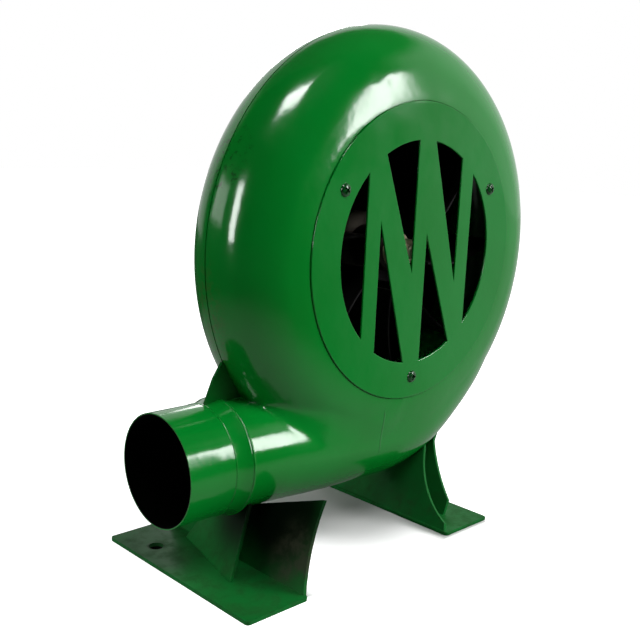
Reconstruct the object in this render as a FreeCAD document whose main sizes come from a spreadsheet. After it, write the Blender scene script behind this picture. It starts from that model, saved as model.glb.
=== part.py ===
import FreeCAD, Part
import math
import os
import Sketcher

# Hand crank forge blower, millimetres, +Z up.
# The origin is midway between the two bench bolt holes, at floor level.
# The fan axis runs along Y: the intake faces -Y, the crank +Y, and the outlet -X.

doc = FreeCAD.newDocument("ForgeBlower")
sheet = doc.addObject("Spreadsheet::Sheet", "Sizes")
Vector = FreeCAD.Vector
Rotation = FreeCAD.Rotation
nodes = []
cellCount = 0


class Size:
    # a number together with the sheet formula that gives it, so sums of sizes stay bound to the sheet
    def __init__(self, text, number):
        self.text = text
        self.number = number

    def __add__(self, other):
        other = sized(other)
        return Size("(%s + %s)" % (self.text, other.text), self.number + other.number)

    def __sub__(self, other):
        other = sized(other)
        return Size("(%s - %s)" % (self.text, other.text), self.number - other.number)

    def __mul__(self, other):
        other = sized(other)
        return Size("(%s * %s)" % (self.text, other.text), self.number * other.number)

    def __truediv__(self, other):
        other = sized(other)
        return Size("(%s / %s)" % (self.text, other.text), self.number / other.number)

    def __neg__(self):
        return Size("(0 - %s)" % self.text, -self.number)

    def __radd__(self, other):
        return sized(other) + self

    def __rsub__(self, other):
        return sized(other) - self

    def __rmul__(self, other):
        return sized(other) * self


def sized(value):
    if isinstance(value, Size):
        return value
    return Size("(%s)" % value, float(value))


def root(value):
    return Size("sqrt(%s)" % value.text, math.sqrt(value.number))


def cosine(value):
    value = sized(value)
    return Size("cos(%s * 1 deg)" % value.text, math.cos(math.radians(value.number)))


def sine(value):
    value = sized(value)
    return Size("sin(%s * 1 deg)" % value.text, math.sin(math.radians(value.number)))


def cell(name, number):
    global cellCount
    cellCount += 1
    sheet.set("A%d" % cellCount, name)
    sheet.set("B%d" % cellCount, str(number))
    sheet.setAlias("B%d" % cellCount, name)
    return Size("Sizes.%s" % name, float(number))


# Where the machine stands
fanX = cell("fanX", 44.0)
midY = cell("midY", -31.0)
axisHeight = cell("axisHeight", 158.7)

# Scroll housing: a round ring of tube section that opens into a neck at the bottom
coreRadius = cell("coreRadius", 92.2)
sectionRadius = cell("sectionRadius", 27.8)
sheetWall = cell("sheetWall", 1.6)
landRadius = cell("landRadius", 79.5)
landRise = cell("landRise", 2.0)
seamWidth = cell("seamWidth", 1.2)
seamDepth = cell("seamDepth", 0.7)
hornStart = cell("hornStart", -25.0)
hornTrim = cell("hornTrim", 3.0)
neckRadius = cell("neckRadius", 28.3)
neckReach = cell("neckReach", 108.5)
outletLift = cell("outletLift", 8.7)
weldGap = cell("weldGap", 0.2)
fitGap = cell("fitGap", 0.05)

# Outlet pipe
mouthReach = cell("mouthReach", 146.6)
pipeWall = cell("pipeWall", 1.0)
beadFlank = cell("beadFlank", 8.8)
beadCrest = cell("beadCrest", 2.5)
beadRise = cell("beadRise", 1.5)
flankBend = cell("flankBend", 30.0)
spigotLength = cell("spigotLength", 10.0)
spigotGap = cell("spigotGap", 0.15)

# Web in the corner between the neck and the rim
webReach = neckReach + cell("webRun", 10.7)
webWaist = neckReach + cell("webSlip", 5.4)
webTop = cell("webTop", 59.9)
webStep = cell("webStep", 7.6)
webLean = cell("webLean", 5.0)
webSheet = cell("webSheet", 1.6)

# Intake grille
grilleRadius = cell("grilleRadius", 80.5)
grilleSheet = cell("grilleSheet", 2.0)
openingRadius = cell("openingRadius", 60.4)
barWidth = cell("barWidth", 10.6)
barSpacing = cell("barSpacing", 37.4)
wedgeReach = cell("wedgeReach", 30.3)
wedgeApex = cell("wedgeApex", 10.3)
slotReach = cell("slotReach", 8.2)
slotApex = cell("slotApex", 18.0)
screwCircle = cell("screwCircle", 68.7)
intakeRadius = cell("intakeRadius", 62.5)

# Small screws of the grille and the gear case
screwShank = cell("screwShank", 1.9)
screwHead = cell("screwHead", 3.4)
screwCrown = cell("screwCrown", 2.0)
screwHeadHeight = cell("screwHeadHeight", 2.2)
screwHoleGap = cell("screwHoleGap", 0.3)
screwTail = cell("screwTail", 2.4)

# Feet
footSheet = cell("footSheet", 2.0)
footWidth = cell("footWidth", 38.0)
leftFront = cell("leftFront", 60.0)
rightFront = cell("rightFront", 55.5)
footBack = cell("footBack", 56.0)
footCorner = cell("footCorner", 2.0)
boltSpacing = cell("boltSpacing", 162.0)
boltRadius = cell("boltRadius", 4.0)
boltEdge = cell("boltEdge", 12.5)
rakeAngle = cell("rakeAngle", 21.8)
leftRibInset = cell("leftRibInset", 16.5)
leftRibYaw = cell("leftRibYaw", 14.0)
leftRibWidth = cell("leftRibWidth", 58.5)
leftRibTaper = cell("leftRibTaper", 12.0)
leftRibTop = cell("leftRibTop", 44.0)
leftRibShift = cell("leftRibShift", 4.0)
rightRibInset = cell("rightRibInset", 18.0)
earHeight = cell("earHeight", 44.5)
earSpot = cell("earSpot", 51.7)
earBend = cell("earBend", 110.0)
saddleHalf = cell("saddleHalf", 10.0)
saddleHeight = cell("saddleHeight", 30.5)
flangeInset = cell("flangeInset", 2.0)
shoulderFoot = cell("shoulderFoot", 51.5)
shoulderToe = cell("shoulderToe", 6.0)
shoulderTop = cell("shoulderTop", 22.8)
shoulderRise = cell("shoulderRise", 39.0)
shoulderBend = cell("shoulderBend", 52.0)
shoulderNeck = cell("shoulderNeck", 3.0)
cradleHeight = cell("cradleHeight", 47.4)
ribFoot = cell("ribFoot", 37.8)
ribTop = cell("ribTop", 14.9)
ribKnee = cell("ribKnee", 10.6)
ribBend = cell("ribBend", 110.0)

# Fan
fanRadius = cell("fanRadius", 80.0)
bladeRoot = cell("bladeRoot", 23.0)
bladeSheet = cell("bladeSheet", 1.2)
bladeFront = cell("bladeFront", 21.0)
bladeSweep = cell("bladeSweep", 24.0)
bladeBend = cell("bladeBend", 85.0)
discRadius = cell("discRadius", 82.0)
discSheet = cell("discSheet", 1.5)
discPlace = cell("discPlace", 12.0)
hubRadius = cell("hubRadius", 12.0)
hubFlange = cell("hubFlange", 22.0)
hubFlangeSheet = cell("hubFlangeSheet", 2.5)
hubFront = cell("hubFront", 14.0)
hubEdge = cell("hubEdge", 1.5)
shaftRadius = cell("shaftRadius", 5.0)
shaftSeat = cell("shaftSeat", 4.0)
shaftNose = cell("shaftNose", 27.5)
washerSheet = cell("washerSheet", 1.8)
washerRadius = cell("washerRadius", 10.0)
fanNutFlats = cell("fanNutFlats", 13.0)
fanNutHeight = cell("fanNutHeight", 6.5)

# Bearings and their housing
bearingRadius = cell("bearingRadius", 13.0)
bearingWidth = cell("bearingWidth", 8.0)
bearingWall = cell("bearingWall", 3.0)
bearingShoulder = cell("bearingShoulder", 2.0)
bearingFront = cell("bearingFront", 16.0)
bearingFlange = cell("bearingFlange", 21.5)
ringWall = cell("ringWall", 2.2)
shieldDepth = cell("shieldDepth", 0.6)

# Gear case
plateSheet = cell("plateSheet", 3.0)
caseRadius = cell("caseRadius", 43.2)
caseWall = cell("caseWall", 1.8)
caseFlange = cell("caseFlange", 53.5)
caseFlangeSheet = cell("caseFlangeSheet", 2.0)
caseDepth = cell("caseDepth", 28.2)
caseRise = cell("caseRise", 18.0)
caseFillet = cell("caseFillet", 4.0)
caseScrewInset = cell("caseScrewInset", 4.2)
bossRadius = cell("bossRadius", 13.0)
bossLength = cell("bossLength", 8.0)

# Gears
fineModule = cell("fineModule", 1.0)
coarseModule = cell("coarseModule", 1.25)
pinionTeeth = cell("pinionTeeth", 12)
layTeeth = cell("layTeeth", 50)
crankTeeth = cell("crankTeeth", 60)
pressureAngle = cell("pressureAngle", 20.0)
addendumShare = cell("addendumShare", 0.75)
dedendumShare = cell("dedendumShare", 1.0)
flankGap = cell("flankGap", 0.1)
crankOffset = cell("crankOffset", 34.0)
fineWidth = cell("fineWidth", 7.0)
coarseWidth = cell("coarseWidth", 9.0)
gearGap = cell("gearGap", 1.0)
layBore = cell("layBore", 4.0)
layHub = cell("layHub", 8.5)
layHeadRadius = cell("layHeadRadius", 7.0)
layHeadHeight = cell("layHeadHeight", 3.0)
layHeadEdge = cell("layHeadEdge", 1.0)
endGap = cell("endGap", 0.6)

# Crank
crankShaftRadius = cell("crankShaftRadius", 6.0)
bushWall = cell("bushWall", 3.0)
bushFlange = cell("bushFlange", 2.4)
bushFlangeSheet = cell("bushFlangeSheet", 1.5)
crankHub = cell("crankHub", 10.0)
armLength = cell("armLength", 115.0)
armSheet = cell("armSheet", 7.0)
armHub = cell("armHub", 13.0)
armHubLength = cell("armHubLength", 10.5)
armEnd = cell("armEnd", 9.5)
armWaist = cell("armWaist", 6.5)
armHubWidth = cell("armHubWidth", 9.0)
armSetback = cell("armSetback", 2.0)
crankNose = cell("crankNose", 5.0)
crankNutFlats = cell("crankNutFlats", 17.0)
crankNutHeight = cell("crankNutHeight", 6.5)
nutShow = cell("nutShow", 1.5)

# Grip
spindleRadius = cell("spindleRadius", 4.0)
spindleCollar = cell("spindleCollar", 7.0)
spindleCollarLength = cell("spindleCollarLength", 2.5)
spindleNutHeight = cell("spindleNutHeight", 5.0)
spindleHead = cell("spindleHead", 7.0)
spindleCrown = cell("spindleCrown", 4.9)
spindleHeadHeight = cell("spindleHeadHeight", 3.0)
gripLength = cell("gripLength", 76.0)
gripEnd = cell("gripEnd", 10.5)
gripBulge = cell("gripBulge", 3.5)
gripEdge = cell("gripEdge", 1.5)
gripPlay = cell("gripPlay", 0.4)

screwAngles = [30, 150, 270]
bladeCount = 8

doc.recompute()

# Places along the fan axis, measured from the housing's mid-plane towards +Y
faceDepth = sectionRadius
landFace = faceDepth + landRise
plateBack = faceDepth + plateSheet
caseEnd = plateBack + caseDepth
shaftStep = bearingFront + bearingWidth * 2 + bearingShoulder
finePlace = shaftStep + gearGap
coarsePlace = finePlace + fineWidth + gearGap * 3
bossEnd = caseEnd + bossLength
armPlace = bossEnd + endGap
armFace = armPlace + armHubLength
collarEnd = armFace + spindleCollarLength
gripStart = collarEnd + gripPlay
gripStop = gripStart + gripLength

# Gear centres in the XZ plane, measured from the fan axis
fineDistance = fineModule * (pinionTeeth + layTeeth) / 2
coarseDistance = coarseModule * (pinionTeeth + crankTeeth) / 2
crankSquare = crankOffset * crankOffset
layX = (fineDistance * fineDistance - coarseDistance * coarseDistance + crankSquare) / (crankOffset * 2)
layZ = root(fineDistance * fineDistance - layX * layX)


def bind(thing, name, value):
    thing.setExpression(name, sized(value).text)


def place(thing, x, y, z, turn=Rotation()):
    # put an object at a point of the part's frame, with a fixed turn
    thing.Placement = FreeCAD.Placement(Vector(sized(x).number, sized(y).number, sized(z).number), turn)
    bind(thing, ".Placement.Base.x", x)
    bind(thing, ".Placement.Base.y", y)
    bind(thing, ".Placement.Base.z", z)


def node(thing, label):
    thing.Label = label
    nodes.append(thing)
    return thing


alongY = Rotation(Vector(1, 0, 0), -90)
alongX = Rotation(Vector(0, 1, 0), 90)


def bodyAt(label, x=0.0, y=0.0, z=0.0, turn=Rotation()):
    body = doc.addObject("PartDesign::Body", label)
    place(body, x, y, z, turn)
    return body


def sketchOn(body, role, offset=0.0):
    sketch = body.newObject("Sketcher::SketchObject", body.Name + "_outline")
    planes = [item for item in body.Origin.OriginFeatures if item.Role == role]
    sketch.AttachmentSupport = [(planes[0], "")]
    sketch.MapMode = "FlatFace"
    bind(sketch, ".AttachmentOffset.Base.z", offset)
    return sketch


def arcBetween(start, end, radius):
    # the arc from start to end that turns left with a positive radius and right with a negative one
    across = end - start
    half = across.Length / 2
    reach = math.sqrt(max(radius * radius - half * half, 0.0))
    side = Vector(-across.y, across.x, 0).normalize()
    turn = 1 if radius > 0 else -1
    centre = (start + end) / 2 + side * reach * turn
    first = start if radius > 0 else end
    last = end if radius > 0 else start
    circle = Part.Circle(centre, Vector(0, 0, 1), abs(radius))
    fromAngle = math.atan2(first.y - centre.y, first.x - centre.x)
    toAngle = math.atan2(last.y - centre.y, last.x - centre.x)
    return Part.ArcOfCircle(circle, fromAngle, toAngle)


def outline(sketch, corners, bends={}):
    # a closed outline through corners; bends gives the radius of the side that starts at that corner
    points = [(sized(x), sized(y)) for x, y in corners]
    spots = [Vector(x.number, y.number, 0) for x, y in points]
    total = len(spots)
    ends = []
    for index in range(total):
        start = spots[index]
        end = spots[(index + 1) % total]
        if index in bends:
            radius = sized(bends[index])
            edge = sketch.addGeometry(arcBetween(start, end, radius.number))
            mark = sketch.addConstraint(Sketcher.Constraint("Radius", edge, abs(radius.number)))
            bind(sketch, "Constraints[%d]" % mark, radius if radius.number > 0 else -radius)
            ends.append((edge, 1, 2) if radius.number > 0 else (edge, 2, 1))
        else:
            edge = sketch.addGeometry(Part.LineSegment(start, end))
            ends.append((edge, 1, 2))
    for index in range(total):
        edge, first, last = ends[index]
        following, followFirst, followLast = ends[(index + 1) % total]
        sketch.addConstraint(Sketcher.Constraint("Coincident", edge, last, following, followFirst))
        pin(sketch, edge, first, points[index][0], points[index][1])


def pin(sketch, edge, spot, x, y):
    # tie one point of a sketch to its place from the sketch's origin
    for kind, value in (("DistanceX", x), ("DistanceY", y)):
        mark = sketch.addConstraint(Sketcher.Constraint(kind, -1, 1, edge, spot, value.number))
        bind(sketch, "Constraints[%d]" % mark, value)


def ring(sketch, x, y, radius):
    x = sized(x)
    y = sized(y)
    edge = sketch.addGeometry(Part.Circle(Vector(x.number, y.number, 0), Vector(0, 0, 1), radius.number))
    pin(sketch, edge, 3, x, y)
    mark = sketch.addConstraint(Sketcher.Constraint("Radius", edge, radius.number))
    bind(sketch, "Constraints[%d]" % mark, radius)


def pad(body, sketch, length, back=False):
    feature = body.newObject("PartDesign::Pad", body.Name + "_pad")
    feature.Profile = sketch
    feature.Reversed = back
    bind(feature, "Length", length)
    return feature


def pocket(body, sketch, length, back=False):
    feature = body.newObject("PartDesign::Pocket", body.Name + "_pocket")
    feature.Profile = sketch
    feature.Reversed = back
    bind(feature, "Length", length)
    return feature


def turned(label, corners, x, y, z, bends={}, axis="V_Axis"):
    # a solid of revolution about the Y axis: corners are (radius, place along Y)
    body = bodyAt(label, x, y, z)
    sketch = sketchOn(body, "XY_Plane")
    outline(sketch, corners, bends)
    feature = body.newObject("PartDesign::Revolution", label + "_turn")
    feature.Profile = sketch
    feature.ReferenceAxis = (sketch, [axis])
    feature.Angle = 360
    return body


def slab(body, y0, y1):
    # start a sketch on the XZ plane at y0; the pad of it grows towards +Y up to y1
    sketch = sketchOn(body, "XZ_Plane", -sized(y0))
    return sketch, sized(y1) - y0


def cylinder(label, radius, length, x, y, z, turn=alongY):
    solid = doc.addObject("Part::Cylinder", label)
    bind(solid, "Radius", radius)
    bind(solid, "Height", length)
    place(solid, x, y, z, turn)
    return solid


def minus(label, base, tool):
    result = doc.addObject("Part::Cut", label)
    result.Base = base
    result.Tool = tool
    return result


def shared(label, first, second):
    result = doc.addObject("Part::Common", label)
    result.Base = first
    result.Tool = second
    return result


def joined(label, pieces):
    result = doc.addObject("Part::MultiFuse", label)
    result.Shapes = pieces
    return result


# Scroll sections: angle about the fan axis, growth of the core radius and section radius
growAngle = cell("growAngle", -45.0)
growLift = cell("growLift", 1.9)
growTrim = cell("growTrim", 0.4)
swellAngle = cell("swellAngle", -60.0)
swellLift = cell("swellLift", 5.2)
swellTrim = cell("swellTrim", 0.1)
throatAngle = cell("throatAngle", -75.0)
throatLift = cell("throatLift", 10.4)
throatTrim = cell("throatTrim", 0.2)
bottomLift = cell("bottomLift", 13.0)
scrollStations = [
    (hornStart, sized(0.0), sectionRadius - hornTrim),
    (growAngle, growLift, sectionRadius - growTrim),
    (swellAngle, swellLift, sectionRadius - swellTrim),
    (throatAngle, throatLift, neckRadius - throatTrim),
    (sized(-90.0), bottomLift, neckRadius),
]

# Neck sections: reach from the fan axis towards -X, drop of the centre line and section radius
neckSwell = cell("neckSwell", 0.2)
neckFirst = cell("neckFirst", 57.5)
neckFirstLift = cell("neckFirstLift", 11.6)
neckSecond = cell("neckSecond", 23.5)
neckSecondLift = cell("neckSecondLift", 9.5)
neckStations = [
    (neckReach - neckFirst, coreRadius + neckFirstLift, neckRadius + neckSwell),
    (neckReach - neckSecond, coreRadius + neckSecondLift, neckRadius + neckSwell / 2),
    (neckReach, coreRadius + outletLift, neckRadius),
]
outletDrop = coreRadius + outletLift
outletHeight = axisHeight - outletDrop


def section(label, x, z, radius, angle):
    # one round section of the horn, square to the air's path
    circle = doc.addObject("Part::Circle", label)
    bind(circle, "Radius", radius)
    angle = sized(angle)
    place(circle, x, midY, z, Rotation(Vector(0, 1, 0), 180 - angle.number))
    return circle


def horn(label, grow, overrun):
    # the part of the air passage that leaves the ring; overrun carries it past the end of the neck
    sections = []
    for index, (angle, lift, radius) in enumerate(scrollStations):
        x = fanX + (coreRadius + lift) * cosine(angle)
        z = axisHeight + (coreRadius + lift) * sine(angle)
        sections.append(section("%s_%d" % (label, index), x, z, radius + grow, angle))
    ends = list(neckStations)
    if overrun:
        ends.append((neckReach + overrun, outletDrop, neckRadius))
    for index, (reach, drop, radius) in enumerate(ends):
        name = "%s_neck_%d" % (label, index)
        sections.append(section(name, fanX - reach, axisHeight - drop, radius + grow, -90))
    loft = doc.addObject("Part::Loft", label)
    loft.Sections = sections
    loft.Solid = True
    loft.Ruled = False
    return loft


def volute(label, grow, overrun=0):
    # the whole air passage as one solid, with its skin moved out by grow
    grow = sized(grow)
    depth = faceDepth + grow
    land = landFace + grow
    edge = landRadius + grow
    corners = [
        (0.0, -land), (edge, -land), (edge + landRise, -depth), (coreRadius, -depth),
        (coreRadius + depth, 0.0), (coreRadius, depth), (0.0, depth),
    ]
    wheel = turned(label + "_wheel", corners, fanX, midY, axisHeight, {3: depth, 4: depth})
    return joined(label, [wheel, horn(label + "_horn", grow, overrun)])


def halfSpace(label, y0, y1):
    box = doc.addObject("Part::Box", label)
    bind(box, "Length", mouthReach * 2 + coreRadius)
    bind(box, "Width", sized(y1) - y0)
    bind(box, "Height", axisHeight * 2)
    place(box, fanX - mouthReach - coreRadius, midY + y0, 0.0)
    return box


def housing():
    outer = volute("outer", 0.0)
    # the inner passage runs on past the end of the neck so that the neck stays open
    inner = volute("inner", -sheetWall, sheetWall)
    skin = minus("skin", outer, inner)
    limit = faceDepth * 2
    frontSkin = shared("front_skin", skin, halfSpace("front_half", -limit, 0.0))
    intake = cylinder("intake_cut", intakeRadius, landFace, fanX, midY - landFace - sheetWall, axisHeight)
    cuts = [intake]
    for index, angle in enumerate(screwAngles):
        x = fanX + screwCircle * cosine(angle)
        z = axisHeight + screwCircle * sine(angle)
        cuts.append(cylinder("land_hole_%d" % index, screwShank + screwHoleGap, sheetWall * 3, x,
                             midY - landFace - sheetWall, z))
    front = minus("front_shell", frontSkin, joined("front_cuts", cuts))
    backSkin = shared("back_skin", skin, halfSpace("back_half", seamWidth, limit))
    # along the seam the back half steps in, which leaves a narrow groove between the halves
    seamBlock = shared("seam_block", volute("seam_floor", -seamDepth), halfSpace("seam_band", 0.0, seamWidth))
    seamSkin = minus("seam_skin", seamBlock, inner)
    bearingCut = cylinder("bearing_cut", bearingRadius + bearingWall + weldGap, sheetWall * 4, fanX,
                          midY + faceDepth - sheetWall * 2, axisHeight)
    back = minus("back_shell", joined("back_halves", [backSkin, seamSkin]), bearingCut)
    node(front, "front_shell")
    node(back, "back_shell")


def pipeSkin(grow):
    # the outside of the outlet pipe from its mouth to the neck: plain pipe, then the bead's flank and crest
    radius = neckRadius + grow
    crestStart = -neckReach - beadCrest
    corners = [
        (-mouthReach, radius), (crestStart - beadFlank, radius), (crestStart, radius + beadRise),
        (-neckReach - beadCrest / 3, radius + beadRise), (-neckReach, radius),
    ]
    return corners, {1: flankBend}


def outletPipe():
    spigotRadius = neckRadius - sheetWall - spigotGap
    spigotEnd = spigotLength - neckReach
    throat = spigotRadius - pipeWall
    boreStart = -neckReach - beadCrest
    corners, bends = pipeSkin(0.0)
    corners += [
        (-neckReach, spigotRadius), (spigotEnd, spigotRadius), (spigotEnd, throat), (boreStart, throat),
        (boreStart - beadCrest, neckRadius - pipeWall), (-mouthReach, neckRadius - pipeWall),
    ]
    node(turned("outlet_pipe", corners, fanX, midY, outletHeight, bends, "H_Axis"), "outlet_pipe")


def grille():
    body = bodyAt("intake_grille", fanX, midY - landFace - grilleSheet, axisHeight)
    sketch, length = slab(body, 0.0, grilleSheet)
    ring(sketch, 0.0, 0.0, grilleRadius)
    for angle in screwAngles:
        ring(sketch, screwCircle * cosine(angle), screwCircle * sine(angle), screwShank + screwHoleGap)
    pad(body, sketch, length, True)
    half = barWidth / 2
    side = barSpacing - half
    rim = openingRadius

    def onRim(x):
        return root(rim * rim - x * x)

    outer = barSpacing + half
    # seen from the front: two end segments, then the wedge and the long slot of each side
    for turn in (1, -1):
        windows = [
            [(outer * turn, -onRim(outer) * turn), (outer * turn, onRim(outer) * turn)],
            [(-half * turn, -wedgeApex * turn), (-half * turn, onRim(half) * turn),
             (-wedgeReach * turn, onRim(wedgeReach) * turn)],
            [(side * turn, -slotApex * turn), (side * turn, onRim(side) * turn),
             (slotReach * turn, onRim(slotReach) * turn)],
        ]
        for corners in windows:
            window = sketchOn(body, "XZ_Plane", grilleSheet)
            # the side that follows the rim starts at the last corner but one
            outline(window, corners, {len(corners) - 2: rim})
            pocket(body, window, grilleSheet * 3, False)
    node(body, "intake_grille")


def screw(label, x, y, z, facing, tail):
    # a pan head screw along Y; facing is +1 when its head points to +Y
    corners = [
        (0.0, -tail * facing), (screwShank, -tail * facing), (screwShank, 0.0), (screwHead, 0.0),
        (screwHead, screwHeadHeight * facing / 2), (screwCrown, screwHeadHeight * facing),
        (0.0, screwHeadHeight * facing),
    ]
    return turned(label, corners, x, y, z)


def grilleScrews():
    tail = grilleSheet + sheetWall + screwTail
    for index, angle in enumerate(screwAngles):
        x = fanX + screwCircle * cosine(angle)
        z = axisHeight + screwCircle * sine(angle)
        label = "grille_screw_%d" % (index + 1)
        node(screw(label, x, midY - landFace - grilleSheet, z, -1, tail), label)


def clearance():
    # what the feet and the web must stay clear of: the housing and the pipe, with the weld gap
    corners, bends = pipeSkin(weldGap)
    corners += [(-neckReach, 0.0), (-mouthReach, 0.0)]
    pipe = turned("pipe_clearance", corners, fanX, midY, outletHeight, bends, "H_Axis")
    return joined("clearance", [volute("wide", weldGap), pipe])


def throatWeb(space):
    body = bodyAt("web_blank", fanX, midY, axisHeight)
    sketch, length = slab(body, -webSheet / 2, webSheet / 2)
    neckTop = -outletDrop + neckRadius
    corners = [
        (-webReach, neckTop - webSheet), (-webReach, neckTop), (-webWaist, -webTop),
        (webLean - webWaist, webStep - webTop), (-coreRadius, webStep - webTop),
        (-coreRadius, neckTop - webSheet),
    ]
    outline(sketch, corners)
    pad(body, sketch, length, True)
    node(minus("throat_web", body, space), "throat_web")


def footPlate(label, inner, outer, reach):
    # a floor plate from its inner to its outer edge, with one bolt hole; reach is its front edge's distance
    left = inner if inner.number < outer.number else outer
    right = outer if inner.number < outer.number else inner
    front = midY - reach
    back = midY + footBack
    corner = footCorner
    body = bodyAt(label)
    sketch = sketchOn(body, "XY_Plane")
    corners = [
        (left + corner, front), (right - corner, front), (right, front + corner), (right, back - corner),
        (right - corner, back), (left + corner, back), (left, back - corner), (left, front + corner),
    ]
    outline(sketch, corners, {1: corner, 3: corner, 5: corner, 7: corner})
    side = 1 if outer.number > 0 else -1
    ring(sketch, boltSpacing / 2 * side, 0.0, boltRadius)
    pad(body, sketch, footSheet)
    return body


def rakedSheet(label, x, y, corners, bends={}, yaw=0.0):
    # a sheet that stands on a foot and leans towards +X; corners are (place along Y, height above the floor)
    body = bodyAt(label, x, y, 0.0, Rotation(Vector(0, 0, -1), sized(yaw).number))
    sketch = sketchOn(body, "YZ_Plane")
    sketch.AttachmentOffset = FreeCAD.Placement(Vector(), Rotation(Vector(1, 0, 0), rakeAngle.number))
    bind(sketch, ".AttachmentOffset.Rotation.Angle", rakeAngle)
    lean = cosine(rakeAngle)
    outline(sketch, [(along, sized(height) / lean) for along, height in corners], bends)
    pad(body, sketch, footSheet)
    return body


def leftFoot(space):
    outer = -boltSpacing / 2 - boltEdge
    inner = outer + footWidth
    plate = footPlate("left_plate", inner, outer, leftFront)
    half = footSheet / 2
    corners = [
        (flangeInset - leftFront, half), (footBack - flangeInset, half), (earSpot, earHeight),
        (saddleHalf, saddleHeight), (-saddleHalf, saddleHeight), (-earSpot, earHeight),
    ]
    flange = rakedSheet("left_flange", inner - footSheet / cosine(rakeAngle), midY, corners,
                        {1: -earBend, 5: -earBend})
    node(minus("left_foot", joined("left_blank", [plate, flange]), space), "left_foot")
    corners = [
        (0.0, half), (leftRibWidth, half), (leftRibWidth - leftRibTaper * 2, leftRibTop),
        (leftRibTaper, leftRibTop),
    ]
    front = midY - leftRibWidth / 2 + leftRibShift
    rib = rakedSheet("left_rib_blank", outer + leftRibInset, front, corners, {}, leftRibYaw)
    node(minus("left_rib", minus("left_rib_seat", rib, plate), space), "left_rib")


def rightFoot(space):
    outer = boltSpacing / 2 + boltEdge
    inner = outer - footWidth
    plate = footPlate("right_plate", inner, outer, rightFront)
    half = footSheet / 2
    throat = shoulderTop - shoulderNeck
    corners = [
        (flangeInset - rightFront, half), (footBack - flangeInset, half), (shoulderFoot, shoulderToe),
        (shoulderTop, shoulderRise), (throat, cradleHeight), (-throat, cradleHeight),
        (-shoulderTop, shoulderRise), (-shoulderFoot, shoulderToe),
    ]
    flange = rakedSheet("right_flange", inner, midY, corners, {2: -shoulderBend, 6: -shoulderBend})
    node(minus("right_foot", joined("right_blank", [plate, flange]), space), "right_foot")
    corners = [
        (-ribFoot, half), (ribFoot, half), (ribFoot, ribKnee), (ribTop, shoulderRise), (ribTop, cradleHeight),
        (-ribTop, cradleHeight), (-ribTop, shoulderRise), (-ribFoot, ribKnee),
    ]
    rib = rakedSheet("right_rib_blank", inner + rightRibInset, midY, corners, {2: -ribBend, 6: -ribBend})
    node(minus("right_rib", minus("right_rib_seat", rib, plate), space), "right_rib")


def bearings():
    seat = bearingRadius + fitGap
    lip = bearingRadius - ringWall
    front = bearingFront
    middle = bearingFront + bearingWidth
    rear = middle + bearingShoulder
    tube = bearingRadius + bearingWall
    corners = [
        (seat, front), (tube, front), (tube, plateBack), (bearingFlange, plateBack),
        (bearingFlange, shaftStep), (seat, shaftStep), (seat, rear), (lip, rear), (lip, middle),
        (seat, middle),
    ]
    node(turned("bearing_housing", corners, fanX, midY, axisHeight), "bearing_housing")
    bore = shaftRadius + fitGap
    for label, start in (("front_bearing", front), ("rear_bearing", rear)):
        stop = start + bearingWidth
        corners = [
            (bore, start), (bore + ringWall, start), (bore + ringWall, start + shieldDepth),
            (bearingRadius - ringWall, start + shieldDepth), (bearingRadius - ringWall, start),
            (bearingRadius, start), (bearingRadius, stop), (bearingRadius - ringWall, stop),
            (bearingRadius - ringWall, stop - shieldDepth), (bore + ringWall, stop - shieldDepth),
            (bore + ringWall, stop), (bore, stop),
        ]
        node(turned(label, corners, fanX, midY, axisHeight), label)


def nut(label, flats, height, bore, x, y, z):
    prism = doc.addObject("Part::Prism", label + "_hexagon")
    prism.Polygon = 6
    bind(prism, "Circumradius", flats / 2 / cosine(30))
    bind(prism, "Height", height)
    place(prism, x, y, z, alongY)
    hole = cylinder(label + "_bore", bore, height, x, y, z)
    return node(minus(label, prism, hole), label)


def washer(label, radius, bore, x, y, z):
    disc = cylinder(label + "_disc", radius, washerSheet, x, y, z)
    hole = cylinder(label + "_hole", bore, washerSheet, x, y, z)
    return node(minus(label, disc, hole), label)


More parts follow.
